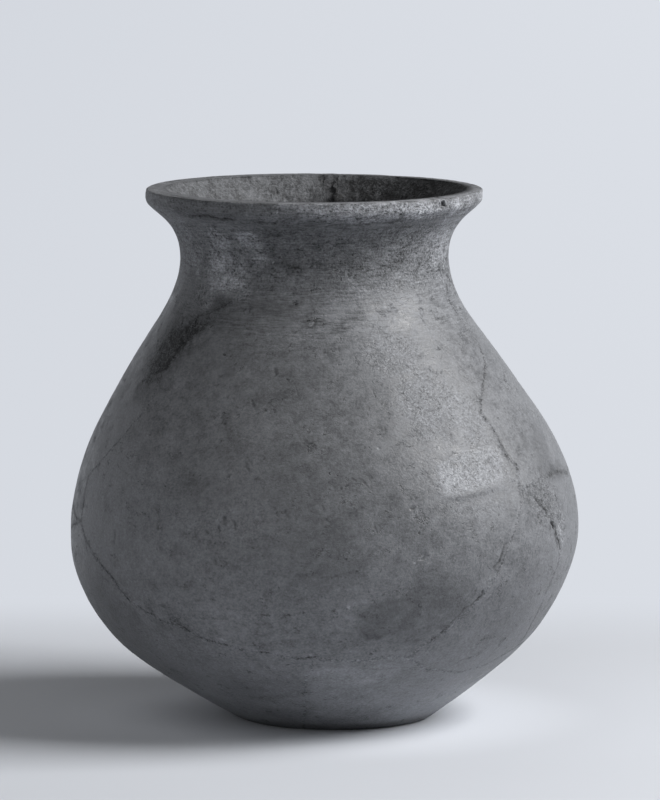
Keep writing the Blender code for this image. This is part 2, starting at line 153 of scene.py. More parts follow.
def wallTracks(lip):
    # outer and inner (radius, height) from the middle of the foot up to the crest of the lip, with
    # the corners of the solids and then with worn ones
    w = jarWall
    fine = w["fineSteps"]
    lipOutside = lipArc(lip, w["lipOutsideFrom"])
    lipInside = lipArc(lip, w["lipInsideFrom"])
    neckHeight = w["height"] - w["neckBelowRim"]
    stations = [(w["baseRadius"], 0)]
    for up, out in w["lowerShares"]:
        radius = w["baseRadius"] + out * (w["bellyRadius"] - w["baseRadius"])
        stations.append((radius, up * w["bellyHeight"]))
    stations.append((w["bellyRadius"], w["bellyHeight"]))
    for up, inward in w["shoulderShares"]:
        radius = w["bellyRadius"] - inward * (w["bellyRadius"] - w["neckRadius"])
        stations.append((radius, w["bellyHeight"] + up * (neckHeight - w["bellyHeight"])))
    stations.append((w["neckRadius"], neckHeight))
    for up, out in w["throatShares"]:
        radius = w["neckRadius"] + out * (lipOutside[0][0] - w["neckRadius"])
        stations.append((radius, neckHeight + up * (lipOutside[0][1] - neckHeight)))
    stations.append(tuple(lipOutside[0]))
    stations = np.array(stations)
    knots = np.concatenate([[0], np.cumsum(np.hypot(*np.diff(stations, axis=0).T))])
    rows = np.arange(w["rows"][-1] * fine + 1) / fine
    along = np.interp(rows, w["rows"], w["rowShares"]) * knots[-1]
    outside = naturalSpline(knots, stations, along)
    nudge = knots[-1] / w["courseParts"]
    ahead = naturalSpline(knots, stations, np.minimum(along + nudge, knots[-1]))
    behind = naturalSpline(knots, stations, np.maximum(along - nudge, 0))
    course = (ahead - behind) / np.hypot(*(ahead - behind).T)[:, None]
    outward = np.stack([course[:, 1], -course[:, 0]], axis=1)
    through = lipOutside[0] - lipInside[0]
    lipWidth = np.hypot(*through)
    neckRows = (rows - w["rows"][-2]) / (w["rows"][-1] - w["rows"][-2])
    turned = smooth(neckRows)[:, None]
    outward = outward * (1 - turned) + through / lipWidth * turned
    outward /= np.hypot(*outward.T)[:, None]
    thick = w["floor"] + (w["thickness"] - w["floor"]) * smooth(along / w["footBlend"])
    thick += (lipWidth - thick) * smooth(2 * neckRows - 1)
    inside = outside - outward * thick[:, None]
    inside[:, 1] = np.maximum(inside[:, 1], w["floor"])
    tracks = []
    shares = np.linspace(0, 1, groundSteps, endpoint=False)
    for wallPart, lipPart, level in ((outside, lipOutside, 0), (inside, lipInside, w["floor"])):
        ground = np.stack([wallPart[0][0] * shares, np.full(len(shares), level)], axis=1)
        tracks.append(np.concatenate([ground, wallPart, lipPart[1:]]))
    sharp = np.stack(tracks)  # as the solids have it
    roundCorner(tracks[0], groundSteps, w["footRounding"])
    insideCorner = groundSteps + int(np.argmax(inside[:, 1] > w["floor"]))
    roundCorner(tracks[1], insideCorner, w["floorRounding"])
    return sharp, np.stack(tracks)


groundSteps = jarWall["groundRows"] * jarWall["fineSteps"]
sharpLeft, tracksLeft = wallTracks(jarWall["lipLeft"])
sharpRight, tracksRight = wallTracks(jarWall["lipRight"])
lastRow = jarWall["rows"][-1] + jarWall["lipRows"]
lastStep = tracksLeft.shape[1] - 1
shiftHeights = np.linspace(0, 1, jarWall["shiftSteps"])
shiftTable = sum(
    jarWall[size] * naturalSpline(
        [x for x, _ in jarWall[shares]], np.array([[y] for _, y in jarWall[shares]]), shiftHeights
    )[:, 0]
    for size, shares in (("footShift", "footShiftShares"), ("rimShift", "rimShiftShares"))
)


def sideways(height):
    # how far the jar leans to the right at each height
    return np.interp(height / jarWall["height"], shiftHeights, shiftTable)


def wobble(turn):
    # the wall is slightly out of round
    waves = (np.cos(3 * turn) + np.sin(2 * turn)) / 2
    return 1 + waves * jarWall["outOfRound"] / jarWall["bellyRadius"]


def chartToStep(chart):
    # the flat chart's point as its turn round the jar and its step along the wall tracks
    radius = np.hypot(*chart.T)
    turn = np.arctan2(chart[:, 0], -chart[:, 1])
    rows = np.log(np.maximum(radius, 1)) * jarWall["columns"] / math.tau
    step = groundSteps + np.minimum(rows, lastRow) * jarWall["fineSteps"]
    return turn, np.where(radius < 1, radius * groundSteps, step)


def chartRadius(rows):
    return np.exp(rows * math.tau / jarWall["columns"])


def stepToChart(turn, step):
    rows = (step - groundSteps) / jarWall["fineSteps"]
    radius = np.where(step < groundSteps, step / groundSteps, chartRadius(rows))
    return np.stack([np.sin(turn), -np.cos(turn)], axis=1) * radius[:, None]


def trackAt(turn, step, face):
    # (radius, height) on one face of the wall, between the left and the right section
    low = np.clip(step.astype(int), 0, lastStep - 1)
    share = (step - low)[:, None]
    leftness = ((1 - np.sin(turn)) / 2)[:, None]
    onLeft, onRight = (
        tracks[face, low] * (1 - share) + tracks[face, low + 1] * share
        for tracks in (tracksLeft, tracksRight)
    )
    return onLeft * leftness + onRight * (1 - leftness)


def toWorld(turn, flat):
    out = flat[:, 0] * wobble(turn)
    x = out * np.sin(turn) + sideways(flat[:, 1])
    return np.stack([x, -out * np.cos(turn), flat[:, 1]], axis=1)


def chartOfSolid(places):
    # where each corner of a sherd's solid lies on the chart, and if it is on the inner face
    x, y, height = places.T
    x = x - sideways(height)
    turn = np.arctan2(x, -y)
    radius = np.hypot(x, y) / wobble(turn)
    leftness = ((1 - np.sin(turn)) / 2)[:, None, None]
    best = np.full(len(places), np.inf)
    step = np.zeros(len(places))
    face = np.zeros(len(places), int)
    spot = np.stack([radius, height], axis=1)
    for side in (0, 1):
        track = sharpLeft[side] * leftness + sharpRight[side] * (1 - leftness)
        start, run = track[:, :-1], np.diff(track, axis=1)
        share = ((spot[:, None] - start) * run).sum(2) / np.maximum((run**2).sum(2), tinySquare)
        share = np.clip(share, 0, 1)
        gap = np.hypot(*np.moveaxis(start + run * share[..., None] - spot[:, None], 2, 0))
        nearest = gap.argmin(1)
        every = np.arange(len(places))
        closer = gap[every, nearest] < best - sameGap
        best = np.where(closer, gap[every, nearest], best)
        step = np.where(closer, nearest + share[every, nearest], step)
        face = np.where(closer, side, face)
    return stepToChart(turn, step), face, best.max()


print("wall: the smooth sections are laid out")

# small tools: even noise, reading and writing a mesh

cellPrimes = (73856093, 19349663, 83492791)
seedPrime = 2654435
mixers = ((13, 1274126177), (15, 668265263))  # shift and prime
cloudOrigin = 57.3  # keeps the middle of the jar off a corner of the noise's cells


def lattice(cells, seed):
    # a steady value from -1 to 1 for each cell
    mixed = np.bitwise_xor.reduce(cells * np.array(cellPrimes), axis=1) ^ seed * seedPrime
    for shift, prime in mixers:
        mixed = (mixed ^ (mixed >> shift)) * prime & 0x7FFFFFFF
    return (mixed >> 7) / 2**23 - 1


def cloud(places, size, seed):
    # soft noise from -1 to 1 over cells of the given size, which may differ along x, y and z
    spots = places / np.asarray(size) + cloudOrigin
    cells = np.floor(spots).astype(np.int64)
    ease = smooth(spots - cells)
    total = np.zeros(len(places))
    for corner in range(8):
        step = np.array([corner & 1, corner >> 1 & 1, corner >> 2 & 1])
        weight = np.where(step, ease, 1 - ease).prod(1)
        total += weight * lattice(cells + step, seed)
    return total


def clouds(places, layers):
    # several layers of that noise, each with its reach, its size and its seed
    return sum(cloud(places, size, seed) * reach for reach, size, seed in layers)


def billow(places, size, seed, layers=3):
    # layers that grow finer and weaker by halves
    total = clouds(places, [(0.5**i, size / 2**i, seed + i) for i in range(layers)])
    return total / (2 - 2 ** (1 - layers))


def rising(values, start, over):
    # 0 up to the start, and 1 once the values are so much further on
    return smooth((values - start) / over)


def fadeTo(least, share):
    return least + (1 - least) * share


def onlySelect(piece):
    bpy.ops.object.select_all(action="DESELECT")
    piece.select_set(True)
    bpy.context.view_layer.objects.active = piece


def readFloats(things, name, width=1):
    values = np.empty(len(things) * width, np.float32)
    things.foreach_get(name, values)
    return values.reshape(-1, width).astype(float) if width > 1 else values.astype(float)


def readWholes(things, name):
    values = np.empty(len(things), np.int32)
    things.foreach_get(name, values)
    return values


def storeFloats(mesh, name, values, kind="FLOAT"):
    layer = mesh.attributes.get(name) or mesh.attributes.new(name, kind, "POINT")
    layer.data.foreach_set("value" if kind == "FLOAT" else "vector", np.ravel(values).astype(np.float32))


def cornersOf(mesh):
    # the vertex of every corner, the number of corners of every face, and every corner's face
    counts = readWholes(mesh.polygons, "loop_total")
    return readWholes(mesh.loops, "vertex_index"), counts, np.repeat(np.arange(len(counts)), counts)


def verticesOf(mesh, kind):
    # the vertices that belong to faces of one kind
    corners, _, owner = cornersOf(mesh)
    found = np.zeros(len(mesh.vertices), bool)
    found[corners[faceKinds(mesh)[owner] == kind]] = True
    return found


outerFace, innerFace, breakFace = range(3)


def faceKinds(mesh):
    return readWholes(mesh.polygons, "material_index")


# the clay

clayLook = {
    "tint": (0.92, 0.945, 1.0),
    "outside": 0.146,  # the grey of the burnished outside
    "inside": 0.099,
    "break": 0.230,
    "darkest": 0.06,  # the least share of that grey that scars, stains and painted shade leave
    "roughness": 0.48,
    "roughnessLimits": (0.28, 0.95),
    "shine": 0.36,
    "clusters": (3.2, -1.0),  # how sharply the scuffed clusters begin, and how few they are
    "insideSpared": 0.7,  # how far the inside is spared from scuffs
    "pitHollows": 0.3,  # how far the pits also follow the hollows of their pattern
    "crustMatt": 0.5,
    "innerCoarse": 0.3,  # how gritty the inside is beside a worn outside
    "darkToneGrain": (0.9, 0.35, 0.55),  # how far dark tone, from stains and painted shade alike, lies even, and how far it keeps to both grains
}
# each pattern of the clay: its cells along x, y and z, its detail, roughness and distortion
clayPatterns = {
    "mottle": ((6.2 * mm, 6.2 * mm, 5.2 * mm), 4.0, 0.9, 0.0),
    "shades": ((34 * mm, 34 * mm, 22 * mm), 3.0, 0.68, 0.4),
    "strokes": ((8.5 * mm, 8.5 * mm, 0.9 * mm), 2.0, 0.6, 0.8),  # left by the burnishing stone
    "combed": ((3.2 * mm, 3.2 * mm, 22 * mm), 3.0, 0.6, 0.5),  # left by scraping inside
    "grit": ((1.1 * mm, 1.1 * mm, 0.9 * mm), 1.5, 0.75, 0.0),
    "scratchy": ((1.9 * mm, 1.9 * mm, 1.5 * mm), 2.0, 0.75, 1.2),
    "clusters": ((7.5 * mm, 7.5 * mm, 6 * mm), 2.0, 0.6, 0.5),
}
# lone grains: the size of the cells that some of them lie in, their own size there, their seed
claySpecks = {"darkSpecks": (4.2 * mm, 0.15, 3.1), "paleSpecks": (6.6 * mm, 0.085, 9.7)}
speckShare = 0.28  # of the cells hold a grain
claySpots = ("tone", "worn", "crust", "seam", "inner", "broken", "rubbed")  # kept on each vertex; tone holds stains and painted light and shade alike
# the materials of the outer, inner and break faces, and how far the grains of each are shifted
clayKinds = {"burnishedClay": 0.0, "innerClay": 0.2, "brokenClay": 0.4}

# How strongly each pattern shades the clay, and how much more where the clay is worn and so on
clayShades = {
    "mottle": (0.44, {"worn": 0.44, "inner": 0.528}),
    "shades": (0.17, {}),
    "strokes": (0.05, {"rubbed": 0.40}),
    "combed": (0.0, {"inner": 0.42}),
    "grit": (0.25, {"coarse": 0.68}),
    "pits": (-0.55, {}),
    "crusty": (0.85, {}),
    "darkSpecks": (-0.5, {}),
    "paleSpecks": (0.9, {}),
}
# how far each makes it rougher
clayGloss = {
    "mottle": (0.25, {}),
    "strokes": (0.02, {"rubbed": 0.06}),
    "shades": (0.07, {}),
    "scuffed": (0.10, {}),
    "matt": (0.32, {}),
}
# and how far each stands out or sinks in
clayRelief = {
    "mottle": (0.08 * mm, {"matt": 0.10 * mm}),
    "strokes": (0.006 * mm, {"rubbed": 0.022 * mm}),
    "combed": (0.0, {"inner": 0.18 * mm}),
    "grit": (0.024 * mm, {"worn": 0.075 * mm}),
    "pits": (-0.20 * mm, {}),
    "crusty": (0.20 * mm, {}),
    "darkSpecks": (-0.22 * mm, {}),
}


class NodeBoard:
    # adds nodes to one material and wires them as they are made
    def __init__(self, tree):
        self.tree = tree

    def add(self, kind, inputs=(), **settings):
        made = self.tree.nodes.new(kind)
        for key, value in settings.items():
            setattr(made, key, value)
        for key, value in dict(inputs).items():
            if isinstance(value, bpy.types.NodeSocket):
                self.tree.links.new(value, made.inputs[key])
            else:
                made.inputs[key].default_value = value
        return made

    def work(self, operation, a, b=0.0, c=0.0):
        return self.add("ShaderNodeMath", {0: a, 1: b, 2: c}, operation=operation).outputs[0]

    def times(self, a, b, plus=0.0):
        return self.work("MULTIPLY_ADD", a, b, plus)

    def most(self, a, b=0.0):
        return self.work("MAXIMUM", a, b)

    def least(self, a, b=0.0):
        return self.work("MINIMUM", a, b)

    def ramp(self, value, start, end, kind="SMOOTHSTEP"):
        settings = {"Value": value, "From Min": start, "From Max": end}
        return self.add("ShaderNodeMapRange", settings, interpolation_type=kind).outputs[0]

    def noise(self, place, size, detail, roughness, distortion):
        # noise from about -1 to 1 over cells of the given size along x, y and z
        scale = tuple(1 / x for x in size)
        spots = self.add("ShaderNodeMapping", {"Vector": place, "Scale": scale}).outputs[0]
        settings = {"Vector": spots, "Scale": 1.0, "Detail": detail, "Roughness": roughness}
        made = self.add("ShaderNodeTexNoise", {**settings, "Distortion": distortion})
        return self.times(made.outputs["Fac"], 4.0, -2.0)

    def specks(self, place, size, reach, seed):
        # 1 inside small round grains, 0 between them
        shift = (seed, seed, seed)
        spots = self.add("ShaderNodeMapping", {"Vector": place, "Location": shift}).outputs[0]
        cells = self.add("ShaderNodeTexVoronoi", {"Vector": spots, "Scale": 1 / size})
        picked = self.add("ShaderNodeSeparateColor", {"Color": cells.outputs["Color"]}).outputs[0]
        few = self.most(self.work("SUBTRACT", picked, 1 - speckShare))
        grain = self.times(few, reach / speckShare)
        inGrain = self.most(self.work("SUBTRACT", grain, cells.outputs["Distance"]))
        return self.times(inGrain, 1 / reach)

    def layered(self, clay, layers, start):
        # a start value plus each pattern times its strength
        total = start
        for pattern, (strength, raised) in layers.items():
            for spot, more in raised.items():
                strength = self.times(clay[spot], more, strength)
            total = self.times(clay[pattern], strength, total)
        return total

    def feed(self, shader, name, output):
        self.tree.links.new(output, shader.inputs[name])


def clayPatternsOn(board, shift):
    # all that the clay's shades, gloss and relief are made of
    place = board.add("ShaderNodeTexCoord").outputs["Object"]
    clay = {name: board.noise(place, *pattern) for name, pattern in clayPatterns.items()}
    for name, (size, reach, seed) in claySpecks.items():
        clay[name] = board.specks(place, size, reach, seed + shift)
    for name in claySpots:
        clay[name] = board.add("ShaderNodeAttribute", attribute_name=name).outputs["Fac"]
    look = clayLook
    worn, inner, scratchy = clay["worn"], clay["inner"], clay["scratchy"]
    # the burnish is scuffed here and there in small clusters, and less so inside
    scuffed = board.least(board.most(board.times(clay["clusters"], *look["clusters"])), 1.0)
    clay["scuffed"] = board.times(scuffed, board.times(inner, -look["insideSpared"], 1.0))
    hollows = board.times(scratchy, look["pitHollows"], board.most(scratchy))
    clay["pits"] = board.times(clay["scuffed"], hollows)
    clay["crusty"] = board.times(clay["crust"], scratchy)
    clay["coarse"] = board.most(worn, board.times(inner, look["innerCoarse"]))
    matt = board.most(clay["broken"], board.times(clay["crust"], look["crustMatt"]))
    clay["matt"] = board.least(board.most(board.most(worn, inner), matt), 1.0)
    return clay


def clayMaterial(name, shift):
    material = bpy.data.materials.new(name)
    material.use_nodes = True
    board = NodeBoard(material.node_tree)
    shader = material.node_tree.nodes["Principled BSDF"]
    clay = clayPatternsOn(board, shift)
    look = clayLook
    base = board.times(clay["inner"], look["inside"] - look["outside"], look["outside"])
    base = board.times(clay["broken"], look["break"] - look["outside"], base)
    shade = board.layered(clay, clayShades, 1.0)
    # dark tone, from stains and painted shade alike, and open joins are darkest in their grain
    even, inGrit, inScratches = look["darkToneGrain"]
    grainy = board.most(board.times(clay["scratchy"], inScratches, board.times(clay["grit"], inGrit, even)))
    tone = board.times(board.least(clay["tone"]), grainy, board.most(clay["tone"]))
    shade = board.times(shade, board.work("ADD", tone, 1.0))
    shade = board.work("SUBTRACT", shade, board.times(clay["seam"], grainy))
    grey = board.times(base, board.most(shade, look["darkest"]))
    tinted = {i: board.times(grey, part) for i, part in enumerate(look["tint"])}
    board.feed(shader, "Base Color", board.add("ShaderNodeCombineColor", tinted).outputs[0])
    shader.inputs["Specular IOR Level"].default_value = look["shine"]
    rough = board.layered(clay, clayGloss, look["roughness"])
    low, high = look["roughnessLimits"]
    limited = board.add("ShaderNodeClamp", {"Value": rough, "Min": low, "Max": high})
    board.feed(shader, "Roughness", limited.outputs[0])
    relief = board.layered(clay, clayRelief, 0.0)
    bump = board.add("ShaderNodeBump", {"Height": relief, "Distance": 1.0, "Strength": 1.0})
    board.feed(shader, "Normal", bump.outputs[0])
    return material


clays = [clayMaterial(name, shift) for name, shift in clayKinds.items()]
print("materials: the clay is mixed")

# the sherds

wear = {
    "solidGap": 0.3 * mm,  # between two sherds' solids
    "merge": 0.001 * mm,
    "crestRows": 0.1,  # so near its crest the lip is neither outside nor inside
    "cuts": 2,
    "fineFrom": 185 * mm,  # the inside is made fine from this height up
    "fineReach": 1.8 * mm,  # how far from a join or a mark the faces are made finest
    # how far a join wanders, over what size and by which seed, coarse to fine
    "wander": ((0.50 * mm, 11 * mm, 11), (0.32 * mm, 4 * mm, 23), (0.16 * mm, 1.5 * mm, 29)),
    "wanderCalm": (9 * mm, 5 * mm),  # it calms down so near the foot's edge and the lip's crest
    "wanderLeast": (8 * mm, 0.01 * mm),  # the least radius and step it is worked out with
    # the unevenness of the hand-built wall, outside and inside
    "swell": (0.50 * mm, 0.24 * mm, 0.10 * mm, 0.035 * mm),
    "innerSwell": (0.7 * mm, 0.35 * mm, 0.18 * mm, 0.06 * mm),
    "swellSize": (52 * mm, 19 * mm, 6 * mm, 2.4 * mm),
    "swellSeeds": ((31, 32, 33, 34), (51, 52, 53, 54)),
    "swellFrom": 10 * mm,  # above the ground
    "swellBelowCrest": 14 * mm,
    "swellLeast": 0.35,  # the share of it that is left at the crest
    "lipFrom": (221 * mm, 4 * mm),  # where the lip begins, and over what height
    "lipRough": (0.16 * mm, 3.2 * mm, 81),
    "lipRoughEven": 0.6,
    "lipRoughSide": (-0.25, 0.5),  # where it grows rougher towards the right
    "lipRoughLeast": 0.35,  # the share of that on the left
    # how a mark strays, how ragged it is, and how whole: its middle, its spread and its limits
    "markStray": ((0.8 * mm, 3.6 * mm, 61), (0.35 * mm, 1.3 * mm, 64)),
    "markRagged": (0.45, 1.0 * mm, 91),
    "markWhole": (0.75, ((0.8, 1.9 * mm, 92),), 0.1, 1.2),
    "besideJoin": 4 * mm,
    "joinReach": 7 * mm,  # further off than this from every known join, a join looks plain
    "chips": (1.4, 2.6 * mm, 95),
    "chipsFew": (0.15, 2),  # how few chips there are, and how sharp
    "groove": (0.45, (0.35, 5 * mm, 97), 1.1),  # its even depth, its unevenness, more where chipped
    "lineWhole": (0.80, ((0.50, 3.4 * mm, 99), (0.30, 1.2 * mm, 98)), 0.05, 1.3),
    "lines": ((0.50, 1), (1.5, 0.22)),  # a join's dark line and the stain beside it: width, strength
    "chipTone": 0.5,
    "chipCrust": (0.7, 0.5),  # only where a join is chipped more than the second number
    "crustWorn": 0.35,  # how worn the crust, the lip, the neck above a height and the joins are
    "lipWorn": 0.50,
    "neckWorn": (0.72, 186 * mm, 20 * mm),
    "joinWorn": 0.6,
    "rubbedFrom": (164 * mm, 20 * mm),
    "innerCrest": (-60, 80),  # steps below the crest over which the inside's clay ends
    "toneLimits": (-0.92, 1.6),
    "smoothAngle": 40,
}
# some sherds are darker or paler all over
sherdTone = {"neckFrontSherd": -0.16, "baseRightSherd": 0.05, "rightShoulderSherd": 0.02}

# A join's look along its course of (turn in degrees, height in mm): how wide it stays open, how
# deep and how far its edges are worn, how dark it is, and how chipped
joinLooks = (
    (((62, 234), (54, 226), (60, 215), (64, 208), (66, 203)), 0.02, 0.04, 0.6, 0.1, 0.1),
    (
        ((-56, 234), (-57, 221), (-54, 213), (-58, 204), (-61, 194), (-58, 187), (-53, 182)),
        0.01, 0.04, 0.5, -0.14, 0,
    ),
    (((-53, 182), (-47, 183), (-35, 190), (-30, 196), (-22, 202)), 0.02, 0.05, 0.7, 0.12, 0.3),
    (
        ((-16, 205), (-5, 205), (10, 205), (25, 207), (34, 203), (40, 201), (56, 199), (64, 200)),
        0.01, 0.02, 0.5, 0.03, 0,
    ),
    (((67, 200), (71, 200), (76, 197)), 0.08, 0.18, 0.8, 0.4, 0.3),
    (((76, 197), (68, 188), (70, 179), (76, 171)), 0.02, 0.06, 0.8, 0.14, 0.2),
    (((76, 171), (66, 160)), 0.02, 0.08, 0.9, 0.18, 0.2),
    (((66, 160), (61, 156), (57, 153), (52, 147)), 0.05, 0.16, 1.1, 0.38, 0.2),
    (((52, 147), (49, 142)), 0.06, 0.2, 0.9, 0.44, 0.4),
    (((49, 142), (51, 134), (51, 127), (52, 121)), 0.08, 0.28, 1.3, 0.34, 0.8),
    (((52, 121), (53, 118), (52, 112), (51, 109)), 0.03, 0.12, 1.1, 0.16, 0.5),
    (((-73, 91), (-74, 104), (-74, 111)), 0.02, 0.06, 0.8, 0.1, 0.2),
    (((-74, 111), (-70, 116), (-67, 121)), 0.02, 0.04, 0.6, 0.05, 0.1),
    (((-67, 121), (-60, 134), (-57, 139)), 0.03, 0.06, 0.5, 0.22, 0.1),
    (((-56, 143), (-55, 147)), 0.03, 0.05, 0.5, -0.16, 0.1),
    (((-55, 148), (-56, 157), (-54, 168), (-51, 174), (-53, 182)), 0.01, 0.03, 0.6, 0.05, 0.3),
    (((-73, 91), (-68, 83), (-63, 77)), 0.03, 0.14, 0.8, 0.22, 0.3),
    (((-63, 77), (-57, 71), (-51, 61)), 0.08, 0.34, 1.2, 0.4, 0.5),
    (((-51, 61), (-45, 57), (-36, 53)), 0.04, 0.22, 0.8, 0.3, 0.3),
    (((-36, 53), (-29, 47)), 0.05, 0.24, 1.1, 0.26, 0.4),
    (((-29, 47), (-20, 44), (-11, 42), (-2, 41)), 0.03, 0.14, 0.7, 0.24, 0.6),
    (((-2, 41), (8, 39), (16, 40), (23, 39)), 0, 0.04, 0.8, 0, 0.1),
    (((23, 39), (30, 32), (40, 30), (52, 29), (61, 31), (70, 36)), 0, 0.02, 0.7, 0, 0),
    (((51, 109), (48, 96), (44, 85)), 0.01, 0.04, 0.7, 0.03, 0.2),
    (((44, 85), (41, 73), (37, 62), (32, 53), (26, 45), (23, 40)), 0.01, 0.07, 0.8, 0.06, 0.2),
    (((51, 109), (56, 105), (59, 100)), 0.03, 0.12, 1.2, 0.16, 0.9),
    (((59, 100), (61, 97), (63, 92)), 0.1, 0.28, 1.3, 0.32, 0.9),
    (((63, 92), (64, 88), (65, 79)), 0.14, 0.32, 1.1, 0.48, 0.6),
    (((65, 79), (66, 70), (65, 62), (66, 48), (70, 36)), 0.01, 0.06, 0.9, 0.06, 0.4),
    (((53, 110), (60, 112), (66, 113)), 0.02, 0.08, 1.2, 0.12, 0.6),
    (((66, 113), (69, 113), (78, 111), (84, 111)), 0.02, 0.12, 1.6, 0.26, 0.3),
    (((84, 111), (91, 112)), 0.02, 0.08, 0.9, 0.1, 0.3),
    (((-2, 41), (-5, 29), (-7, 19), (-13, 7), (-18, 0)), 0.01, 0.02, 0.5, 0.03, 0.1),
    (((172, 234), (170, 222), (173, 211), (171, 196)), 0.05, 0.2, 1, 0.4, 0.5),
)
plainJoin = (0.03, 0.08, 0.8, 0.14, 0.3)  # the look of every other join

# A small mark of the surface: its course, its half width and its depth in mm, and its tone
marks = (
    (((48.5, 231.5),), 1.1, 2.6, -0.9),  # the hole in the lip
    (((22, 86),), 1.8, 0.5, -0.22),
    (((20, 83),), 0.5, -0.05, 0.9),
    (((19, 85),), 0.35, 0, 0.5),
    (((6, 65),), 0.7, -0.05, 1.1),
    (((5, 68),), 0.45, 0, 0.6),
    (((20, 107),), 1, 0.4, -0.45),
    (((4, 115),), 0.6, 0.35, -0.5),
    (((-7, 190),), 0.95, 0.4, -0.5),
    (((0, 181),), 1, 0.4, -0.5),
    (((-50, 118),), 0.6, 0.3, -0.6),
    (((68, 188),), 0.65, -0.05, 0.9),
    (((-12, 230),), 0.55, -0.05, 1),
    (((-18, 207),), 0.5, 0, 1.1),
    (((14, 131),), 0.45, 0.1, 0.5),
    (((-31, 159), (-30, 160)), 1, 0.25, -0.34),
    (((-13, 163), (-12.5, 161)), 1, 0.25, -0.34),
    (((-27, 143), (-26, 140)), 0.9, 0.22, -0.3),
    (((-19, 150), (-18, 147)), 0.9, 0.2, -0.28),
    (((-41, 138), (-38, 137)), 0.7, 0.16, -0.28),
    (((-50, 133),), 0.8, 0.2, -0.3),
    (((-19, 124), (-18, 122)), 0.9, 0.22, -0.32),
    (((-38, 113), (-35, 115), (-33, 115)), 0.6, 0.15, -0.24),
    (((-29, 115), (-28, 115.5)), 0.8, 0.15, -0.24),
    (((-30, 110), (-27, 109)), 0.6, 0.15, -0.25),
    (((-23, 102), (-23, 99)), 0.8, 0.45, -0.6),
    (((-28, 96), (-27, 95)), 0.9, 0.35, -0.5),
    (((-21, 101), (-20.5, 98)), 0.55, 0.3, -0.5),
    (((-26, 99), (-26.5, 96.5)), 0.6, 0.3, -0.5),
    (((-30, 94), (-29, 92.5)), 0.7, 0.3, -0.45),
    (((-22, 105), (-21, 104)), 0.6, 0.2, 0.35),
    (((-1, 108), (0, 104), (1, 101)), 0.6, 0.22, -0.4),
    (((-2, 108.5), (-1, 104.5)), 0.5, -0.08, 0.4),
    (((11, 100), (11.5, 97)), 0.6, 0.22, -0.35),
    (((7, 119), (9, 118.5), (10, 116)), 0.6, 0.2, -0.4),
    (((9, 121), (11, 120)), 0.55, 0.15, -0.35),
    (((-4, 135), (-3, 133), (-2, 133.5)), 0.6, 0.2, -0.4),
    (((-18, 126), (-16, 125)), 0.6, 0.2, -0.4),
    (((-12, 122),), 0.6, 0.2, -0.35),
    (((-24, 97.5), (-24, 96)), 0.7, 0.4, -0.55),
    (((-34, 95), (-31, 93), (-29, 92)), 0.9, 0.25, -0.34),
    (((-55, 90), (-55, 86)), 0.9, 0.25, -0.35),
    (((-35, 88),), 1.6, 0.2, -0.25),
    (((-41, 81), (-41, 79)), 0.8, 0.22, -0.34),
    (((-25, 85), (-24.5, 82)), 0.7, 0.2, -0.3),
    (((-20, 81), (-19, 81)), 0.7, 0.25, -0.42),
    (((-40, 62), (-38, 61)), 0.8, 0.25, -0.34),
    (((-9, 106), (-8, 103)), 0.7, 0.25, -0.3),
    (((-6, 79), (-3, 78)), 0.8, 0.25, -0.36),
    (((47, 144), (46, 141)), 0.8, 0.2, -0.22),
    (((48, 141), (45, 139)), 1.3, 0.12, 0.15),
    (((-37, 54), (-34, 51.5)), 1.1, 0.35, -0.22),
    (((-25, 48.5), (-23, 47)), 0.6, 0.1, 0.4),
    (((-2.5, 41.5),), 0.6, 0, 0.7),
    (((62, 95), (63, 91)), 1.1, 0.6, -0.4),
    (((63.5, 88), (64.5, 83)), 1, 0.7, -0.55),
    (((65.5, 80), (66.5, 76)), 0.6, 0.35, -0.3),
    (((66, 92), (67, 86)), 1.4, 0.25, 0.22),
    (((43.5, 87.5), (42, 82), (40.5, 78)), 0.8, 0.5, -0.6),
    (((39, 73), (38, 70)), 2, -0.1, 0.24),
    (((38.5, 68),), 0.8, 0.4, -0.6),
    (((39, 67), (35, 61), (31.5, 54), (29, 49)), 0.5, 0.26, -0.6),
    (((41, 66), (36.5, 60), (33, 54)), 0.45, -0.06, 0.4),
    (((39, 33), (42, 35), (45, 36)), 0.6, 0.15, -0.28),
    (((54, 108), (58, 102), (60.5, 96)), 0.9, 0.25, -0.22),
    (((57, 110), (61, 104)), 0.8, 0.22, -0.2),
    (((52, 106), (54, 103)), 0.8, 0.2, -0.2),
    # the lip's ledge, a groove under the bead darkened with painted shadow of the lip
    (((-50, 226), (-42, 226.5), (-33, 226), (-22, 225.5), (-14, 225)), 0.95, 0.6, -0.48),
    (((-14, 224.6), (0, 224.4), (14, 224.6), (32, 225)), 0.75, 0.3, -0.26),
)
innerMarks = (
    (((171, 234), (170.8, 227)), 0.9, 0.7, -0.45),  # the open end of the back join
    (((170.6, 227.5), (170.2, 220)), 1.2, 1.2, -0.92),
    (((169.8, 224), (169.4, 212)), 2.3, 1.6, -0.92),
    (((-176, 228), (-175, 205)), 1.6, -0.3, 0.3),
    (((-168, 226), (-167, 206)), 2, -0.3, 0.25),
    (((177, 228), (178, 210)), 1.3, -0.2, 0.25),
    (((160, 226), (161, 212)), 1.3, -0.2, 0.2),
    (((150, 230), (153, 212)), 1.2, -0.2, 0.2),
    (((-158, 230), (-155, 212)), 1.2, -0.2, 0.2),
)

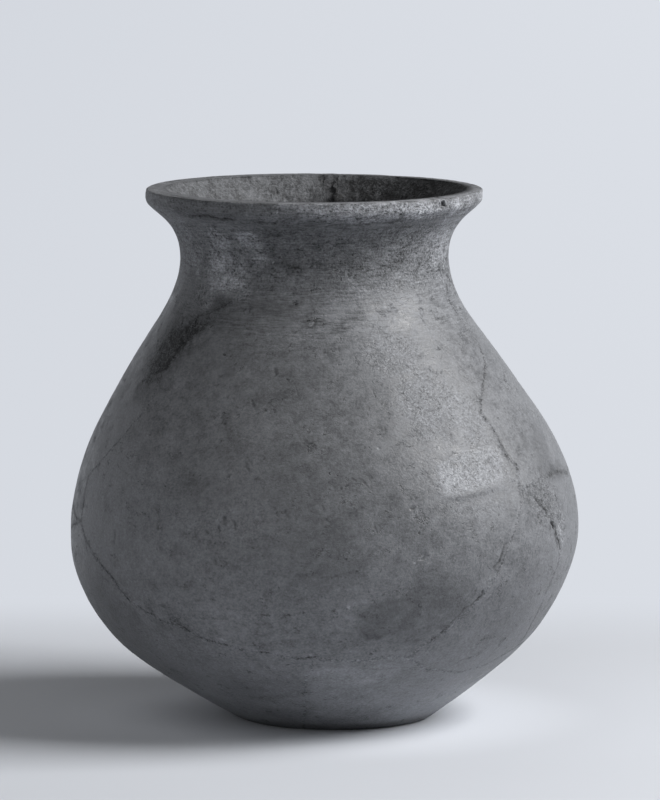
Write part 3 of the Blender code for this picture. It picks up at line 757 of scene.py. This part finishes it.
# A soft patch: its middle, half width and half height in mm, its tilt in degrees, its tone, how
# crusty it is, and how ragged its edge
patches = (
    ((-64, 174), 22, 27, -28, -0.2, 0, 0.5),
    ((-26, 186), 24, 11, 8, -0.15, 0, 0.7),
    ((-60, 169), 13, 21, -28, -0.26, 0, 0.7),
    ((-57, 168), 9, 13, -24, -0.26, 0, 0.9),
    ((-46, 181), 6, 17, -52, -0.2, 0, 0.8),
    ((-62, 152), 7, 10, -25, -0.32, 0, 0.8),
    ((-38, 190), 4, 9, -60, -0.07, 0, 0.8),
    ((-58, 160), 14, 20, -30, -0.16, 0, 0.9),
    ((-28, 186), 14, 6, 10, -0.12, 0, 0.7),
    ((-61, 170), 6, 7, -28, -0.22, 0, 0.95),
    ((-58, 163), 5, 8, -28, -0.26, 0, 0.95),
    ((-60, 156), 4, 7, -20, -0.2, 0, 0.95),
    ((-55, 174), 5, 6, -40, -0.18, 0, 0.95),
    ((-66, 190), 8, 10, 0, -0.22, 0.35, 0.9),
    ((-66, 178), 5, 9, -20, -0.2, 0.3, 0.9),
    ((-41, 201), 12, 8, 0, 0.5, 0.28, 0.5),  # pale worn crust on the neck
    ((-36, 195), 9, 5, -20, 0.4, 0.5, 0.6),
    ((-42, 216), 5, 6, 20, 0.42, 0.3, 0.5),
    ((-46, 207), 5, 7, 10, 0.22, 0.8, 0.9),
    ((-27, 217), 6, 4.5, 0, 0.52, 0.2, 0.3),
    ((-23, 209), 4, 5, 0, 0.26, 0.6, 0.8),
    ((-52, 190), 9, 6, -40, 0.2, 0.9, 0.9),
    ((-46, 183), 9, 3.5, -48, 0.1, 0.9, 0.9),
    ((-56, 209), 4, 14, 0, -0.1, 0.3, 0.4),
    # these darken the front of the neck: painted shadow of the lip, with some crust
    ((0, 214), 34, 11, 0, -0.22, 0.15, 0.6),
    ((-10, 200), 26, 7, -8, -0.22, 0.1, 0.7),
    ((18, 202), 22, 6, 4, -0.2, 0.1, 0.8),
    ((45, 213), 14, 10, 0, 0.05, 0.4, 0.8),
    ((20, 229), 34, 5, 0, 0.6, 0.65, 0.8),  # the pale granular lip
    ((42, 229), 20, 5, 0, 0.5, 0.8, 0.8),
    ((72, 229), 22, 6, 0, 0.38, 0.6, 0.7),
    ((-45, 229), 34, 6, 0, -0.2, 0.5, 0.8),
    ((68, 122), 9, 14, -38, -0.26, 0.1, 0.6),
    ((73, 113.5), 13, 4, 0, -0.26, 0.2, 0.7),
    ((62, 128), 3, 4, -20, -0.24, 0.1, 0.6),
    ((60, 104), 13, 11, -20, -0.08, 0.75, 0.9),
    ((67, 90), 5, 10, 0, 0.12, 0.7, 0.7),
    ((38, 120), 19, 8.5, 6, 0.5, 0.55, 0.25),  # the pale face over the blunt ridge, pale crust brightened by a painted highlight, as are the pale patches above it
    ((31, 117), 8, 5.5, 0, 0.22, 0.5, 0.4),
    ((33, 147), 16, 17, 0, 0.24, 0.6, 1),
    ((26, 168), 13, 12, 0, 0.17, 0.5, 1),
    ((44, 139), 9, 14, 0, 0.2, 0.5, 1),
    # painted shade just below the ridge
    ((32, 108), 17, 3.2, 8, -0.05, 0.2, 0.7),
    ((37, 104), 15, 3.5, 0, 0.07, 0.3, 0.8),
    ((16, 59), 14, 9, 20, -0.3, 0, 0.2),
    ((5, 64), 10, 10, 10, 0.1, 0, 0.35),
    ((9, 49), 8, 5, 0, -0.12, 0, 0.6),
    ((27, 71), 15, 8, 0, -0.2, 0.1, 0.8),
    ((30, 60), 12, 9, 30, -0.22, 0.1, 0.6),
    ((22, 50), 13, 5, 8, -0.2, 0.1, 0.8),
    ((40, 86), 9, 8, 0, -0.14, 0.2, 0.8),
    ((50, 60), 13, 22, 8, -0.13, 0, 0.9),
    ((9, 31), 19, 7, 0, 0.18, 0, 0.2),
    ((-20, 24), 22, 8, 0, -0.06, 0, 0.6),
    ((-76, 66), 5, 22, 0, 0.12, 0.2, 0.7),
    # painted shade down the jar's left side, away from the light
    ((-82, 128), 20, 36, 14, -0.14, 0, 0.8),
    ((-82, 178), 12, 26, -20, -0.06, 0, 0.8),
    ((-34, 166), 17, 20, 0, -0.1, 0, 0.9),
    ((4, 128), 34, 52, 0, -0.14, 0, 0.9),
    ((68, 214), 17, 15, 0, 0.3, 0, 0.8),  # a painted highlight down the right of the neck
    ((1, 94), 13, 10, 0, -0.09, 0, 0.35),  # the burnish lies in flakes of slightly different greys
    ((11, 94), 12, 9, 4, 0.09, 0, 0.35),
    ((-17, 142), 10, 9, 0, 0.06, 0, 0.35),
    ((-31, 117), 11, 3, 4, -0.12, 0, 0.35),
    ((-3, 79), 12, 6, 0, -0.1, 0, 0.35),
    ((5, 111), 11, 5, 0, 0.08, 0, 0.35),
    ((-14, 151), 13, 4, 0, -0.08, 0, 0.35),
    ((-26, 128), 9, 7, 0, -0.06, 0, 0.35),
    ((-8, 66), 12, 8, 12, 0.07, 0, 0.35),
    ((22, 92), 9, 5, 10, -0.1, 0, 0.35),
    ((-34, 74), 12, 5, -12, -0.08, 0, 0.35),
    ((-22, 60), 10, 5, -10, 0.08, 0, 0.35),
    # painted light from the floor on either side of the foot, and painted shade at its front
    ((72, 14), 30, 9, 0, 0.16, 0, 0.9),
    ((-62, 15), 30, 10, 0, 0.16, 0, 0.9),
    ((0, 8), 24, 7, 0, -0.26, 0, 0.9),
    ((-22, 98), 24, 7, 5, 0.07, 0.2, 0.9),
    ((-32, 112), 18, 6, 0, -0.07, 0, 0.9),
    ((-14, 174), 19, 8, 0, 0.05, 0.15, 0.9),
    ((-14, 164), 20, 22, 0, -0.09, 0, 0.9),
    ((-12, 189), 20, 5, 0, -0.12, 0, 0.8),
    ((0, 104), 30, 22, 0, -0.06, 0, 0.9),
)

sherds = {
    "neck_clay": ("neck_front_sherd", "neck_right_sherd"),
    "body_clay": (
        "left_shoulder_sherd", "body_front_sherd", "right_shoulder_sherd", "back_shoulder_sherd",
        "right_side_sherd", "lower_right_sherd", "lower_back_sherd",
    ),
    "base_clay": ("base_left_sherd", "base_right_sherd"),
}


def selectFaces(piece, chosen):
    piece.data.vertices.foreach_set("select", np.zeros(len(piece.data.vertices), bool))
    piece.data.edges.foreach_set("select", np.zeros(len(piece.data.edges), bool))
    piece.data.polygons.foreach_set("select", chosen)


def subdivideChosen(piece, chosen):
    onlySelect(piece)
    selectFaces(piece, chosen)
    bpy.ops.object.mode_set(mode="EDIT")
    bpy.ops.mesh.select_mode(type="FACE")
    bpy.ops.mesh.subdivide(number_cuts=wear["cuts"])
    bpy.ops.object.mode_set(mode="OBJECT")


def layOut(mesh):
    # each face is marked outer, inner or break, and each corner gets its place on the chart
    places = readFloats(mesh.vertices, "co", 3)
    chart, side, error = chartOfSolid(places)
    crest = np.hypot(*chart.T) > chartRadius(lastRow - wear["crestRows"])
    corners, counts, owner = cornersOf(mesh)
    onOuter, onInner = (
        np.bincount(owner, (side[corners] == face) & ~crest[corners], len(counts)) > 0 for face in (0, 1)
    )
    kinds = np.where(onOuter & onInner, breakFace, np.where(onInner, innerFace, outerFace))
    mesh.polygons.foreach_set("material_index", kinds.astype(np.int32))
    depth = np.where(crest, 0.5, side)
    storeFloats(mesh, "chart", np.column_stack([chart, depth]), "FLOAT_VECTOR")
    return error


def refineSkin(piece):
    # the outside is made finer, and so is the inside of the neck
    mesh = piece.data
    heights = readFloats(mesh.vertices, "co", 3)[:, 2]
    corners, counts, owner = cornersOf(mesh)
    high = np.bincount(owner, heights[corners], len(counts)) / counts > wear["fineFrom"]
    kinds = faceKinds(mesh)
    subdivideChosen(piece, (kinds == outerFace) | (high & (kinds == innerFace)))


def refineMarks(piece):
    # the faces beside a join or a mark are made finer still
    mesh = piece.data
    corners, counts, owner = cornersOf(mesh)
    skin = verticesOf(mesh, outerFace)
    places = readFloats(mesh.vertices, "co", 3)
    gap = gapTo(places, skin, skin & verticesOf(mesh, breakFace))
    for path, width, _, _ in marks:
        room = distanceTo(places, wallPath(path, 0)) - width * mm
        gap = np.where(skin, np.minimum(gap, room), gap)
    near = np.full(len(counts), farOff)
    np.minimum.at(near, owner, gap[corners])
    subdivideChosen(piece, (faceKinds(mesh) == outerFace) & (near < wear["fineReach"]))


def makeSherd(nodeName):
    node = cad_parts[nodeName]
    first, *others = nodeName.split("_")
    pieceName = first + "".join(word.title() for word in others)
    piece = bpy.data.objects.new(pieceName, node.data.copy())
    bpy.context.scene.collection.objects.link(piece)
    onlySelect(piece)
    piece.data.materials.clear()
    for material in clays:
        piece.data.materials.append(material)
    bpy.ops.mesh.customdata_custom_splitnormals_clear()
    bpy.ops.object.mode_set(mode="EDIT")
    bpy.ops.mesh.select_all(action="SELECT")
    bpy.ops.mesh.remove_doubles(threshold=wear["merge"])
    bpy.ops.object.mode_set(mode="OBJECT")
    error = layOut(piece.data)
    before = len(piece.data.polygons)
    subdivideChosen(piece, np.ones(before, bool))
    refineSkin(piece)
    refineMarks(piece)
    SherdSkin(piece).finish()
    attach(piece, "root")
    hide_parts(nodeName)
    after = len(piece.data.polygons)
    print(f"{pieceName}: {before} faces became {after}, laid out to {error / mm:.4f} mm")


courseSteps = 2  # the wall's course at a step is felt so many steps ahead and behind


def wallFrame(turn, step, depth):
    # place, outward normal of the wall, and the distance between two steps
    flats = []
    normals = []
    for face in (0, 1):
        at, ahead, behind = (
            trackAt(turn, np.clip(step + way, 0, lastStep), face)
            for way in (0, courseSteps, -courseSteps)
        )
        run = ahead - behind
        length = np.hypot(*run.T)
        if face == 0:
            pace = length / (2 * courseSteps)
        run /= np.maximum(length, tiny)[:, None]
        flats.append(at)
        normals.append(np.stack([run[:, 1], -run[:, 0]], axis=1))
    share = depth[:, None]
    flat, normal = (pair[0] * (1 - share) + pair[1] * share for pair in (flats, normals))
    normal /= np.maximum(np.hypot(*normal.T), tiny)[:, None]
    return flat, normal, pace


def outwardOf(turn, normal):
    # the wall's normal at each turn round the jar
    return np.stack([normal[:, 0] * np.sin(turn), -normal[:, 0] * np.cos(turn), normal[:, 1]], axis=1)


def gapTo(places, wanted, goals):
    # how far each wanted vertex is from the nearest goal
    tree = kdtree.KDTree(int(goals.sum()))
    for i in np.flatnonzero(goals):
        tree.insert(places[i], int(i))
    tree.balance()
    gap = np.full(len(places), farOff)
    for i in np.flatnonzero(wanted):
        gap[i] = tree.find(places[i])[2]
    return gap


def wallPoint(turn, height, face):
    # a place on the smooth wall from its turn in degrees and its height in mm
    turn = np.array([math.radians(turn)])
    leftness = (1 - math.sin(turn[0])) / 2
    track = tracksLeft[face] * leftness + tracksRight[face] * (1 - leftness)
    wall = track[groundSteps:]
    crest = int(wall[:, 1].argmax())
    radius = np.interp(height * mm, wall[: crest + 1, 1], wall[: crest + 1, 0])
    return toWorld(turn, np.array([[radius, height * mm]]))[0]


pathShares = (0.25, 0.5, 0.75, 1)  # of the way from one point of a path to the next


def wallPath(path, face):
    points = [wallPoint(*path[0], face)]
    for start, end in zip(path, path[1:]):
        for share in pathShares:
            points.append(wallPoint(*(a + (b - a) * share for a, b in zip(start, end)), face))
    return np.array(points)


def distanceTo(places, points):
    # the distance of each place from a course of points
    best = np.linalg.norm(places - points[0], axis=1)
    for start, end in zip(points, points[1:]):
        run = end - start
        share = np.clip((places - start) @ run / max(run @ run, tiny), 0, 1)
        best = np.minimum(best, np.linalg.norm(places - start - share[:, None] * run, axis=1))
    return best


def joinLookAt(places):
    # the look of the join nearest to each place: open, depth, reach, dark, chips
    best = np.full(len(places), wear["joinReach"])
    found = np.tile(np.array(plainJoin), (len(places), 1))
    for path, *look in joinLooks:
        gap = distanceTo(places, wallPath(path, 0))
        found[gap < best] = look
        best = np.minimum(gap, best)
    return found.T


patchEdge = {
    "ragged": ((0.6, 6 * mm, 71), (0.4, 1.8 * mm, 77)),  # share, size and seed
    "stray": 0.8,
    "softness": (0.15, 0.6),  # of a clean edge, and what a ragged one adds
    "flakeBelow": 0.4,  # a less ragged patch is a squarish flake
    "squareness": (4, 2),  # of a flake, and of any other patch
    "slopeOver": 2,  # mm up and down, by which a patch feels how the wall slopes
    "highest": 233,  # mm
    "depth": 40 * mm,  # so far behind its middle a patch ends, before the far side of the jar
}


def patchesAt(places, skin):
    # the tone and the crust that the soft patches give each place on the outside
    edge = patchEdge
    tone = np.zeros(len(places))
    crust = np.zeros(len(places))
    ragged = sum(share * billow(places, size, seed) for share, size, seed in edge["ragged"])
    for (turn, height), wide, tall, tilt, amount, crustiness, raggedness in patches:
        above = wallPoint(turn, min(height + edge["slopeOver"], edge["highest"]), 0)
        above -= wallPoint(turn, max(height - edge["slopeOver"], 0), 0)
        above /= np.linalg.norm(above)
        beside = np.array([math.cos(math.radians(turn)), math.sin(math.radians(turn)), 0])
        ahead = np.array([beside[1], -beside[0], 0])
        away = places - wallPoint(turn, height, 0)
        u, v = away @ beside, away @ above
        c, d = math.cos(math.radians(tilt)), math.sin(math.radians(tilt))
        squareness = edge["squareness"][raggedness >= edge["flakeBelow"]]
        reach = np.abs((u * c + v * d) / (wide * mm)) ** squareness
        reach += np.abs((v * c - u * d) / (tall * mm)) ** squareness
        reach = reach ** (1 / squareness)
        clean, more = edge["softness"]
        softness = clean + more * raggedness
        inside = 1 + softness / 2 - reach + edge["stray"] * raggedness * ragged
        share = smooth(inside / softness) * skin * (away @ ahead > -edge["depth"])
        tone += amount * share
        crust = np.maximum(crust, crustiness * share)
    return tone, crust


ridge = {
    "path": ((23, 124), (25, 118), (27, 113), (29, 110), (33, 110), (38, 111), (45, 113), (49, 117)),
    "middle": (36, 110.8),
    "rise": 0.50 * mm,
    "above": 8 * mm,  # it swells softly from above and ends sharply below
    "below": 1.3 * mm,
    "fade": (1.2, 22 * mm),
}


def ridgeAt(places):
    # the slight facet low on the right of the front, which ends below in a blunt ridge
    edge = distanceTo(places, wallPath(ridge["path"], 0))
    middle = wallPoint(*ridge["middle"], 0)
    softly = np.exp(-edge / ridge["above"])
    sharply = np.exp(-((edge / ridge["below"]) ** 2))
    start, over = ridge["fade"]
    fade = smooth(start - np.linalg.norm(places - middle, axis=1) / over)
    return ridge["rise"] * np.where(places[:, 2] > middle[2], softly, sharply) * fade


# painted light at the foot: its edge darkened as painted contact shade, and the clay above made paler as
# painted light from the floor
footPaintedLight = {
    "soot": (-0.92, 1.5 * mm, 3.8 * mm),
    "pale": ((0.13, 30 * mm, 50 * mm), (0.48, 4 * mm, 24 * mm)),
}
insideShade = {
    # the painted shade: how dark, towards which turn, from what share of it, and how far the pale stretch
    # is spared
    "soot": ((0.30, 125, 0.35, 0.6), (0.52, 112, 0.30, 0.7)),
    "shadeOver": 0.5,
    "shadeFrom": (150 * mm, 30 * mm),
    "litFrom": (225 * mm, 5 * mm),
    "litSide": (-0.88, 0.38),
}


def footPaintedLightAt(heights):
    # painted contact shade: the foot's edge is darkened where it stands on the floor; and painted light
    # from the floor: the clay grows paler towards the foot
    dark, start, over = footPaintedLight["soot"]
    pale = sum(tone * (1 - rising(heights, *reach)) for tone, *reach in footPaintedLight["pale"])
    return dark * (1 - rising(heights, start, over)) + pale


def innerPaintedShade(turn, heights):
    # the inside is darkened with painted shade towards the back and the right, but paler high up at the
    # back, where it catches the light
    tone = insideShade
    lit = rising(heights, *tone["litFrom"]) * rising(-np.sin(turn), *tone["litSide"]) * (np.cos(turn) < 0)
    soot = 0
    for dark, towards, start, spared in tone["soot"]:
        shadedShare = rising(np.cos(turn - math.radians(towards)), start, tone["shadeOver"])
        soot = soot + dark * shadedShare * (1 - spared * lit)
    return -soot * rising(heights, *tone["shadeFrom"])


def wholeness(places, middle, layers, least, most):
    # how far a worn mark or line is still whole from place to place
    return np.clip(middle + clouds(places, layers), least, most)


class SherdSkin:
    # the vertices of one sherd, which are worn, closed up at the joins and painted
    def __init__(self, piece):
        self.piece = piece
        self.mesh = piece.data
        chart = readFloats(self.mesh.attributes["chart"].data, "vector", 3)
        self.outer, self.inner, self.broken = (verticesOf(self.mesh, kind) for kind in range(3))
        self.inside = self.inner & ~self.outer
        self.turn, self.step = chartToStep(chart[:, :2])
        self.depth = np.where(self.outer, 0.0, np.where(self.inner, 1.0, chart[:, 2]))
        self.flat, _, self.pace = wallFrame(self.turn, self.step, np.zeros(len(self.turn)))
        self.plain = toWorld(self.turn, self.flat)  # its place on the plain outside of the wall
        self.heights = self.plain[:, 2]
        self.onLip = rising(self.heights, *wear["lipFrom"])

    def belowCrest(self, over):
        return smooth((lastStep - self.step) * self.pace / over)

    def wanderJoins(self):
        # every vertex strays along the wall, and so the joins wander, two neighbours alike
        calmFoot, calmCrest = wear["wanderCalm"]
        leastRadius, leastPace = wear["wanderLeast"]
        radius, height = self.flat.T
        atFoot = smooth(np.hypot(radius - jarWall["baseRadius"], height) / calmFoot)
        atCrest = self.belowCrest(calmCrest)
        for reach, size, seed in wear["wander"]:
            across = cloud(self.plain, size, seed) * reach * atFoot
            upwards = cloud(self.plain, size, seed + 5) * reach * atFoot * atCrest
            self.turn = self.turn + across / np.maximum(radius, leastRadius)
            self.step = self.step + upwards / np.maximum(self.pace, leastPace)
        self.step = np.clip(self.step, 0, lastStep)
        self.flat, normal, self.pace = wallFrame(self.turn, self.step, self.depth)
        self.places = toWorld(self.turn, self.flat)
        self.outward = outwardOf(self.turn, normal)

    def swellWall(self):
        # the wall swells and sinks as the hand left it, and the lip is rough
        offGround = smooth(self.flat[:, 1] / wear["swellFrom"])
        atLip = self.belowCrest(wear["swellBelowCrest"])
        outer, inner = (
            clouds(self.plain, zip(wear[kind], wear["swellSize"], seeds))
            for kind, seeds in zip(("swell", "innerSwell"), wear["swellSeeds"])
        )
        swell = outer * offGround * (1 - self.depth) + inner * self.depth * offGround * atLip
        swell *= fadeTo(wear["swellLeast"], atLip)
        reach, size, seed = wear["lipRough"]
        toRight = fadeTo(wear["lipRoughLeast"], rising(np.sin(self.turn), *wear["lipRoughSide"]))
        swell -= toRight * self.onLip * reach * (wear["lipRoughEven"] + billow(self.plain, size, seed))
        self.swell = swell + ridgeAt(self.places) * self.outer

    def markSurface(self):
        # small marks, ragged and broken up like every scar on old clay
        strayed = self.places
        for reach, size, seed in wear["markStray"]:
            stray = [cloud(self.places, size, seed + i) for i in range(3)]
            strayed = strayed + np.stack(stray, axis=1) * reach
        ragged = 1 + clouds(self.places, [wear["markRagged"]])
        whole = wholeness(self.places, *wear["markWhole"])
        self.tone = np.zeros(len(self.places))
        for face, chosen, group in ((0, self.outer, marks), (1, self.inside, innerMarks)):
            for path, width, dip, amount in group:
                gap = distanceTo(strayed, wallPath(path, face)) / (width * mm) * ragged
                share = np.exp(-(gap**3)) * chosen * (whole if len(path) > 1 else 1)
                self.swell -= share * dip * mm
                self.tone += share * amount
        self.places += self.outward * self.swell[:, None]

    def storePlaces(self):
        self.mesh.vertices.foreach_set("co", self.places.astype(np.float32).ravel())
        self.mesh.update()

    def breakFacing(self):
        # which way the break faces look at each vertex
        corners, _, owner = cornersOf(self.mesh)
        faces = self.mesh.polygons
        facing = readFloats(faces, "normal", 3) * readFloats(faces, "area")[:, None]
        onBreak = faceKinds(self.mesh)[owner] == breakFace
        total = np.zeros((len(self.places), 3))
        np.add.at(total, corners[onBreak], facing[owner[onBreak]])
        return total / np.maximum(np.linalg.norm(total, axis=1), tiny)[:, None]

    def closeJoins(self):
        # the break faces of two neighbours are brought together
        gap = gapTo(self.places, self.outer, self.outer & self.broken)
        besideJoin = (gap < wear["besideJoin"]) | self.broken
        looks = np.tile(np.array(plainJoin), (len(self.places), 1)).T
        looks[:, besideJoin] = joinLookAt(self.plain[besideJoin])
        stayOpen, sunk, reach, self.dark, self.chips = looks
        closing = (wear["solidGap"] - stayOpen * mm) / 2 * self.broken
        self.places += self.breakFacing() * closing[:, None]
        # the worn edges of a join lie a little lower, and here and there they are chipped
        self.gap = gap / (reach * mm)
        self.closeness = np.exp(-(self.gap**2))
        strength, size, seed = wear["chips"]
        few, sharp = wear["chipsFew"]
        chipped = cloud(self.plain, size, seed) * strength - few
        self.chipped = smooth(chipped * sharp) * self.chips
        even, uneven, deeper = wear["groove"]
        groove = self.closeness * sunk * (even + clouds(self.plain, [uneven]) + deeper * self.chipped) * mm
        self.places -= self.outward * (groove * self.outer)[:, None]
        low, high = (np.array(corner) for corner in cadBox)
        self.places = np.clip(self.places, low, high)

    def paintClay(self):
        outer = self.outer
        chipping = self.chipped * self.closeness * outer
        patchTone, crust = patchesAt(self.plain, outer)
        (narrow, strong), (wide, faint) = wear["lines"]
        line = np.exp(-((self.gap / narrow) ** 2)) * wholeness(self.plain, *wear["lineWhole"]) * strong
        line += faint * np.exp(-((self.gap / wide) ** 2))
        tone = patchTone + self.tone + np.maximum(-self.dark, 0) * line * outer
        # painted contact shade and painted floor light at the foot, and next the painted shade inside
        tone += footPaintedLightAt(self.heights) * outer + sherdTone.get(self.piece.name, 0)
        tone += innerPaintedShade(self.turn, self.heights) * self.inside
        crustier, least = wear["chipCrust"]
        neck, *neckFrom = wear["neckWorn"]
        worn = np.maximum(wear["crustWorn"] * crust, wear["lipWorn"] * self.onLip * outer)
        worn = np.maximum(worn, neck * rising(self.heights, *neckFrom) * (1 - self.onLip) * outer)
        inner = np.where(outer, 0.0, smooth(self.depth))
        painted = {
            "tone": np.clip(tone, *wear["toneLimits"]),
            "seam": np.maximum(self.dark, 0) * (line * outer + wear["chipTone"] * chipping),
            "crust": np.clip(crust + crustier * chipping * (self.chips > least), 0, 1),
            "worn": np.maximum(worn, self.closeness * wear["joinWorn"] * outer),
            "rubbed": rising(self.heights, *wear["rubbedFrom"]) * outer,
            "inner": inner * (1 - rising(self.step - lastStep, *wear["innerCrest"])),
            "broken": self.broken & ~outer & ~self.inner,
        }
        for name, values in painted.items():
            storeFloats(self.mesh, name, values)

    def finish(self):
        self.wanderJoins()
        self.swellWall()
        self.markSurface()
        self.storePlaces()
        self.closeJoins()
        self.storePlaces()
        self.paintClay()
        self.mesh.attributes.remove(self.mesh.attributes["chart"])
        self.mesh.update()
        onlySelect(self.piece)
        bpy.ops.object.shade_smooth_by_angle(angle=math.radians(wear["smoothAngle"]))


for slot, nodeNames in sherds.items():
    for nodeName in nodeNames:
        makeSherd(nodeName)
print("sherds: all laid")

# camera, floor and light

portrait = {"place": (0.0024, -3.0, 0.512), "pitch": 82.936, "lens": 308.57, "clip": (0.1, 100)}
studio = {
    "roomRadius": 9.0,  # a round room of pale paper, which looks alike from every side
    "roomTall": 3.0,
    "roomSides": 128,
    "topFrom": 0.9,  # a face whose middle lies above this share of the height is the top
    "paperShine": 0.1,
    # the floor runs from paler on the left to darker on the right: painted light and shade that even out
    # the key light, which stands on the right
    "floorLeft": (0.632, 0.655, 0.700),
    "floorRight": (0.520, 0.537, 0.572),
    "farLeft": (0.652, 0.680, 0.733),
    "farRight": (0.716, 0.745, 0.799),
    "behind": (0.17, 0.34),  # where the floor behind the jar fades into the even paper
    "around": (0.30, 0.60),  # and how far from the jar it does so on every side
    "floorSide": 0.35,  # how far to the left and right the tones change, near and far
    "farSide": 0.47,
    "besideFoot": (0.070, 0.130),  # painted light: the paper is a little paler right beside the foot, where the jar's contact shadow falls
    "paintedLightBesideFoot": 0.17,
    "fill": 0.036,
}
# each soft light: its turn round the jar, its rise, how far off it stands, its width, its height,
# its power, and if it shows in the clay's gloss
panels = {
    "softKey": (81, 37, 1.3, 0.84, 0.70, 27.5, True),
    "paleCard": (-30, 30, 2.0, 2.8, 2.8, 14.5, True),
    "paleWall": (-150, 30, 2.0, 2.8, 2.8, 11.0, False),
}


def addCamera():
    tilt = (math.radians(portrait["pitch"]), 0, 0)
    bpy.ops.object.camera_add(location=portrait["place"], rotation=tilt)
    camera = bpy.context.object
    camera.data.lens = portrait["lens"]
    camera.data.clip_start, camera.data.clip_end = portrait["clip"]
    bpy.context.scene.camera = camera


def leftToRight(board, across, name):
    # the paper's tone changes evenly from the left of the jar to the right
    side = studio[name + "Side"]
    inputs = {0: board.ramp(across, -side, side, "LINEAR")}
    inputs |= {6: (*studio[name + "Left"], 1), 7: (*studio[name + "Right"], 1)}
    return board.add("ShaderNodeMix", inputs, data_type="RGBA").outputs[2]


def paperMaterial():
    # pale paper near the jar, which takes its shadow and has painted light right beside the foot, and an
    # even pale glow far from it
    paper = bpy.data.materials.new("palePaper")
    paper.use_nodes = True
    tree = paper.node_tree
    board = NodeBoard(tree)
    shader = tree.nodes["Principled BSDF"]
    shader.inputs["Roughness"].default_value = 1.0
    shader.inputs["Specular IOR Level"].default_value = studio["paperShine"]
    place = board.add("ShaderNodeTexCoord").outputs["Object"]
    across, behind, _ = board.add("ShaderNodeSeparateXYZ", {0: place}).outputs
    around = board.add("ShaderNodeVectorMath", {0: place}, operation="LENGTH").outputs["Value"]
    # painted light on the paper right beside the foot, against the jar's contact shadow
    paler = studio["paintedLightBesideFoot"]
    strength = board.times(board.ramp(around, *studio["besideFoot"]), -paler, 1 + paler)
    ground = {0: leftToRight(board, across, "floor"), "Scale": strength}
    ground = board.add("ShaderNodeVectorMath", ground, operation="SCALE").outputs[0]
    board.feed(shader, "Base Color", ground)
    glow = {"Color": leftToRight(board, across, "far"), "Strength": 1.0}
    glow = board.add("ShaderNodeEmission", glow).outputs[0]
    far = board.most(board.ramp(behind, *studio["behind"]), board.ramp(around, *studio["around"]))
    path = board.add("ShaderNodeLightPath").outputs
    seen = board.most(path["Is Camera Ray"], path["Is Glossy Ray"])
    seen = board.most(seen, path["Is Transmission Ray"])
    mixed = {0: board.times(far, seen), 1: shader.outputs[0], 2: glow}
    mixed = board.add("ShaderNodeMixShader", mixed).outputs[0]
    board.feed(tree.nodes["Material Output"], "Surface", mixed)
    return paper


def addFloor():
    # a round room of paper, open above, with the jar on its floor
    radius, tall = studio["roomRadius"], studio["roomTall"]
    bpy.ops.mesh.primitive_cylinder_add(
        vertices=studio["roomSides"], radius=radius, depth=tall, location=(0, 0, tall / 2)
    )
    floor = bpy.context.object
    floor.name = "paperFloor"
    bpy.ops.object.transform_apply(location=True, rotation=False, scale=False)
    heights = np.array([face.center.z for face in floor.data.polygons])
    selectFaces(floor, heights > tall * studio["topFrom"])
    bpy.ops.object.mode_set(mode="EDIT")
    bpy.ops.mesh.select_mode(type="FACE")
    bpy.ops.mesh.delete(type="FACE")
    bpy.ops.mesh.select_all(action="SELECT")
    bpy.ops.mesh.flip_normals()
    bpy.ops.object.mode_set(mode="OBJECT")
    floor.data.materials.append(paperMaterial())


def addPanel(name, turn, rise, reach, wide, tall, power, glossy):
    turn, rise = math.radians(turn), math.radians(rise)
    flat = math.cos(rise)
    toLight = Vector((math.sin(turn) * flat, -math.cos(turn) * flat, math.sin(rise)))
    middle = Vector((0, 0, jarWall["height"] / 2))
    bpy.ops.object.light_add(type="AREA", location=middle + toLight * reach)
    panel = bpy.context.object
    panel.name = name
    panel.data.shape = "RECTANGLE"
    panel.data.size = wide
    panel.data.size_y = tall
    panel.data.energy = power
    panel.visible_camera = False
    panel.visible_glossy = glossy
    panel.rotation_euler = toLight.to_track_quat("Z", "Y").to_euler()


def addLight():
    for name, settings in panels.items():
        addPanel(name, *settings)
    world = bpy.data.worlds.new("paleRoom")
    bpy.context.scene.world = world
    world.use_nodes = True
    background = world.node_tree.nodes["Background"].inputs
    background["Color"].default_value = (1, 1, 1, 1)
    background["Strength"].default_value = studio["fill"]


addCamera()
addFloor()
addLight()
bpy.context.scene.view_settings.view_transform = "Standard"
print("studio: camera, floor and light are set")
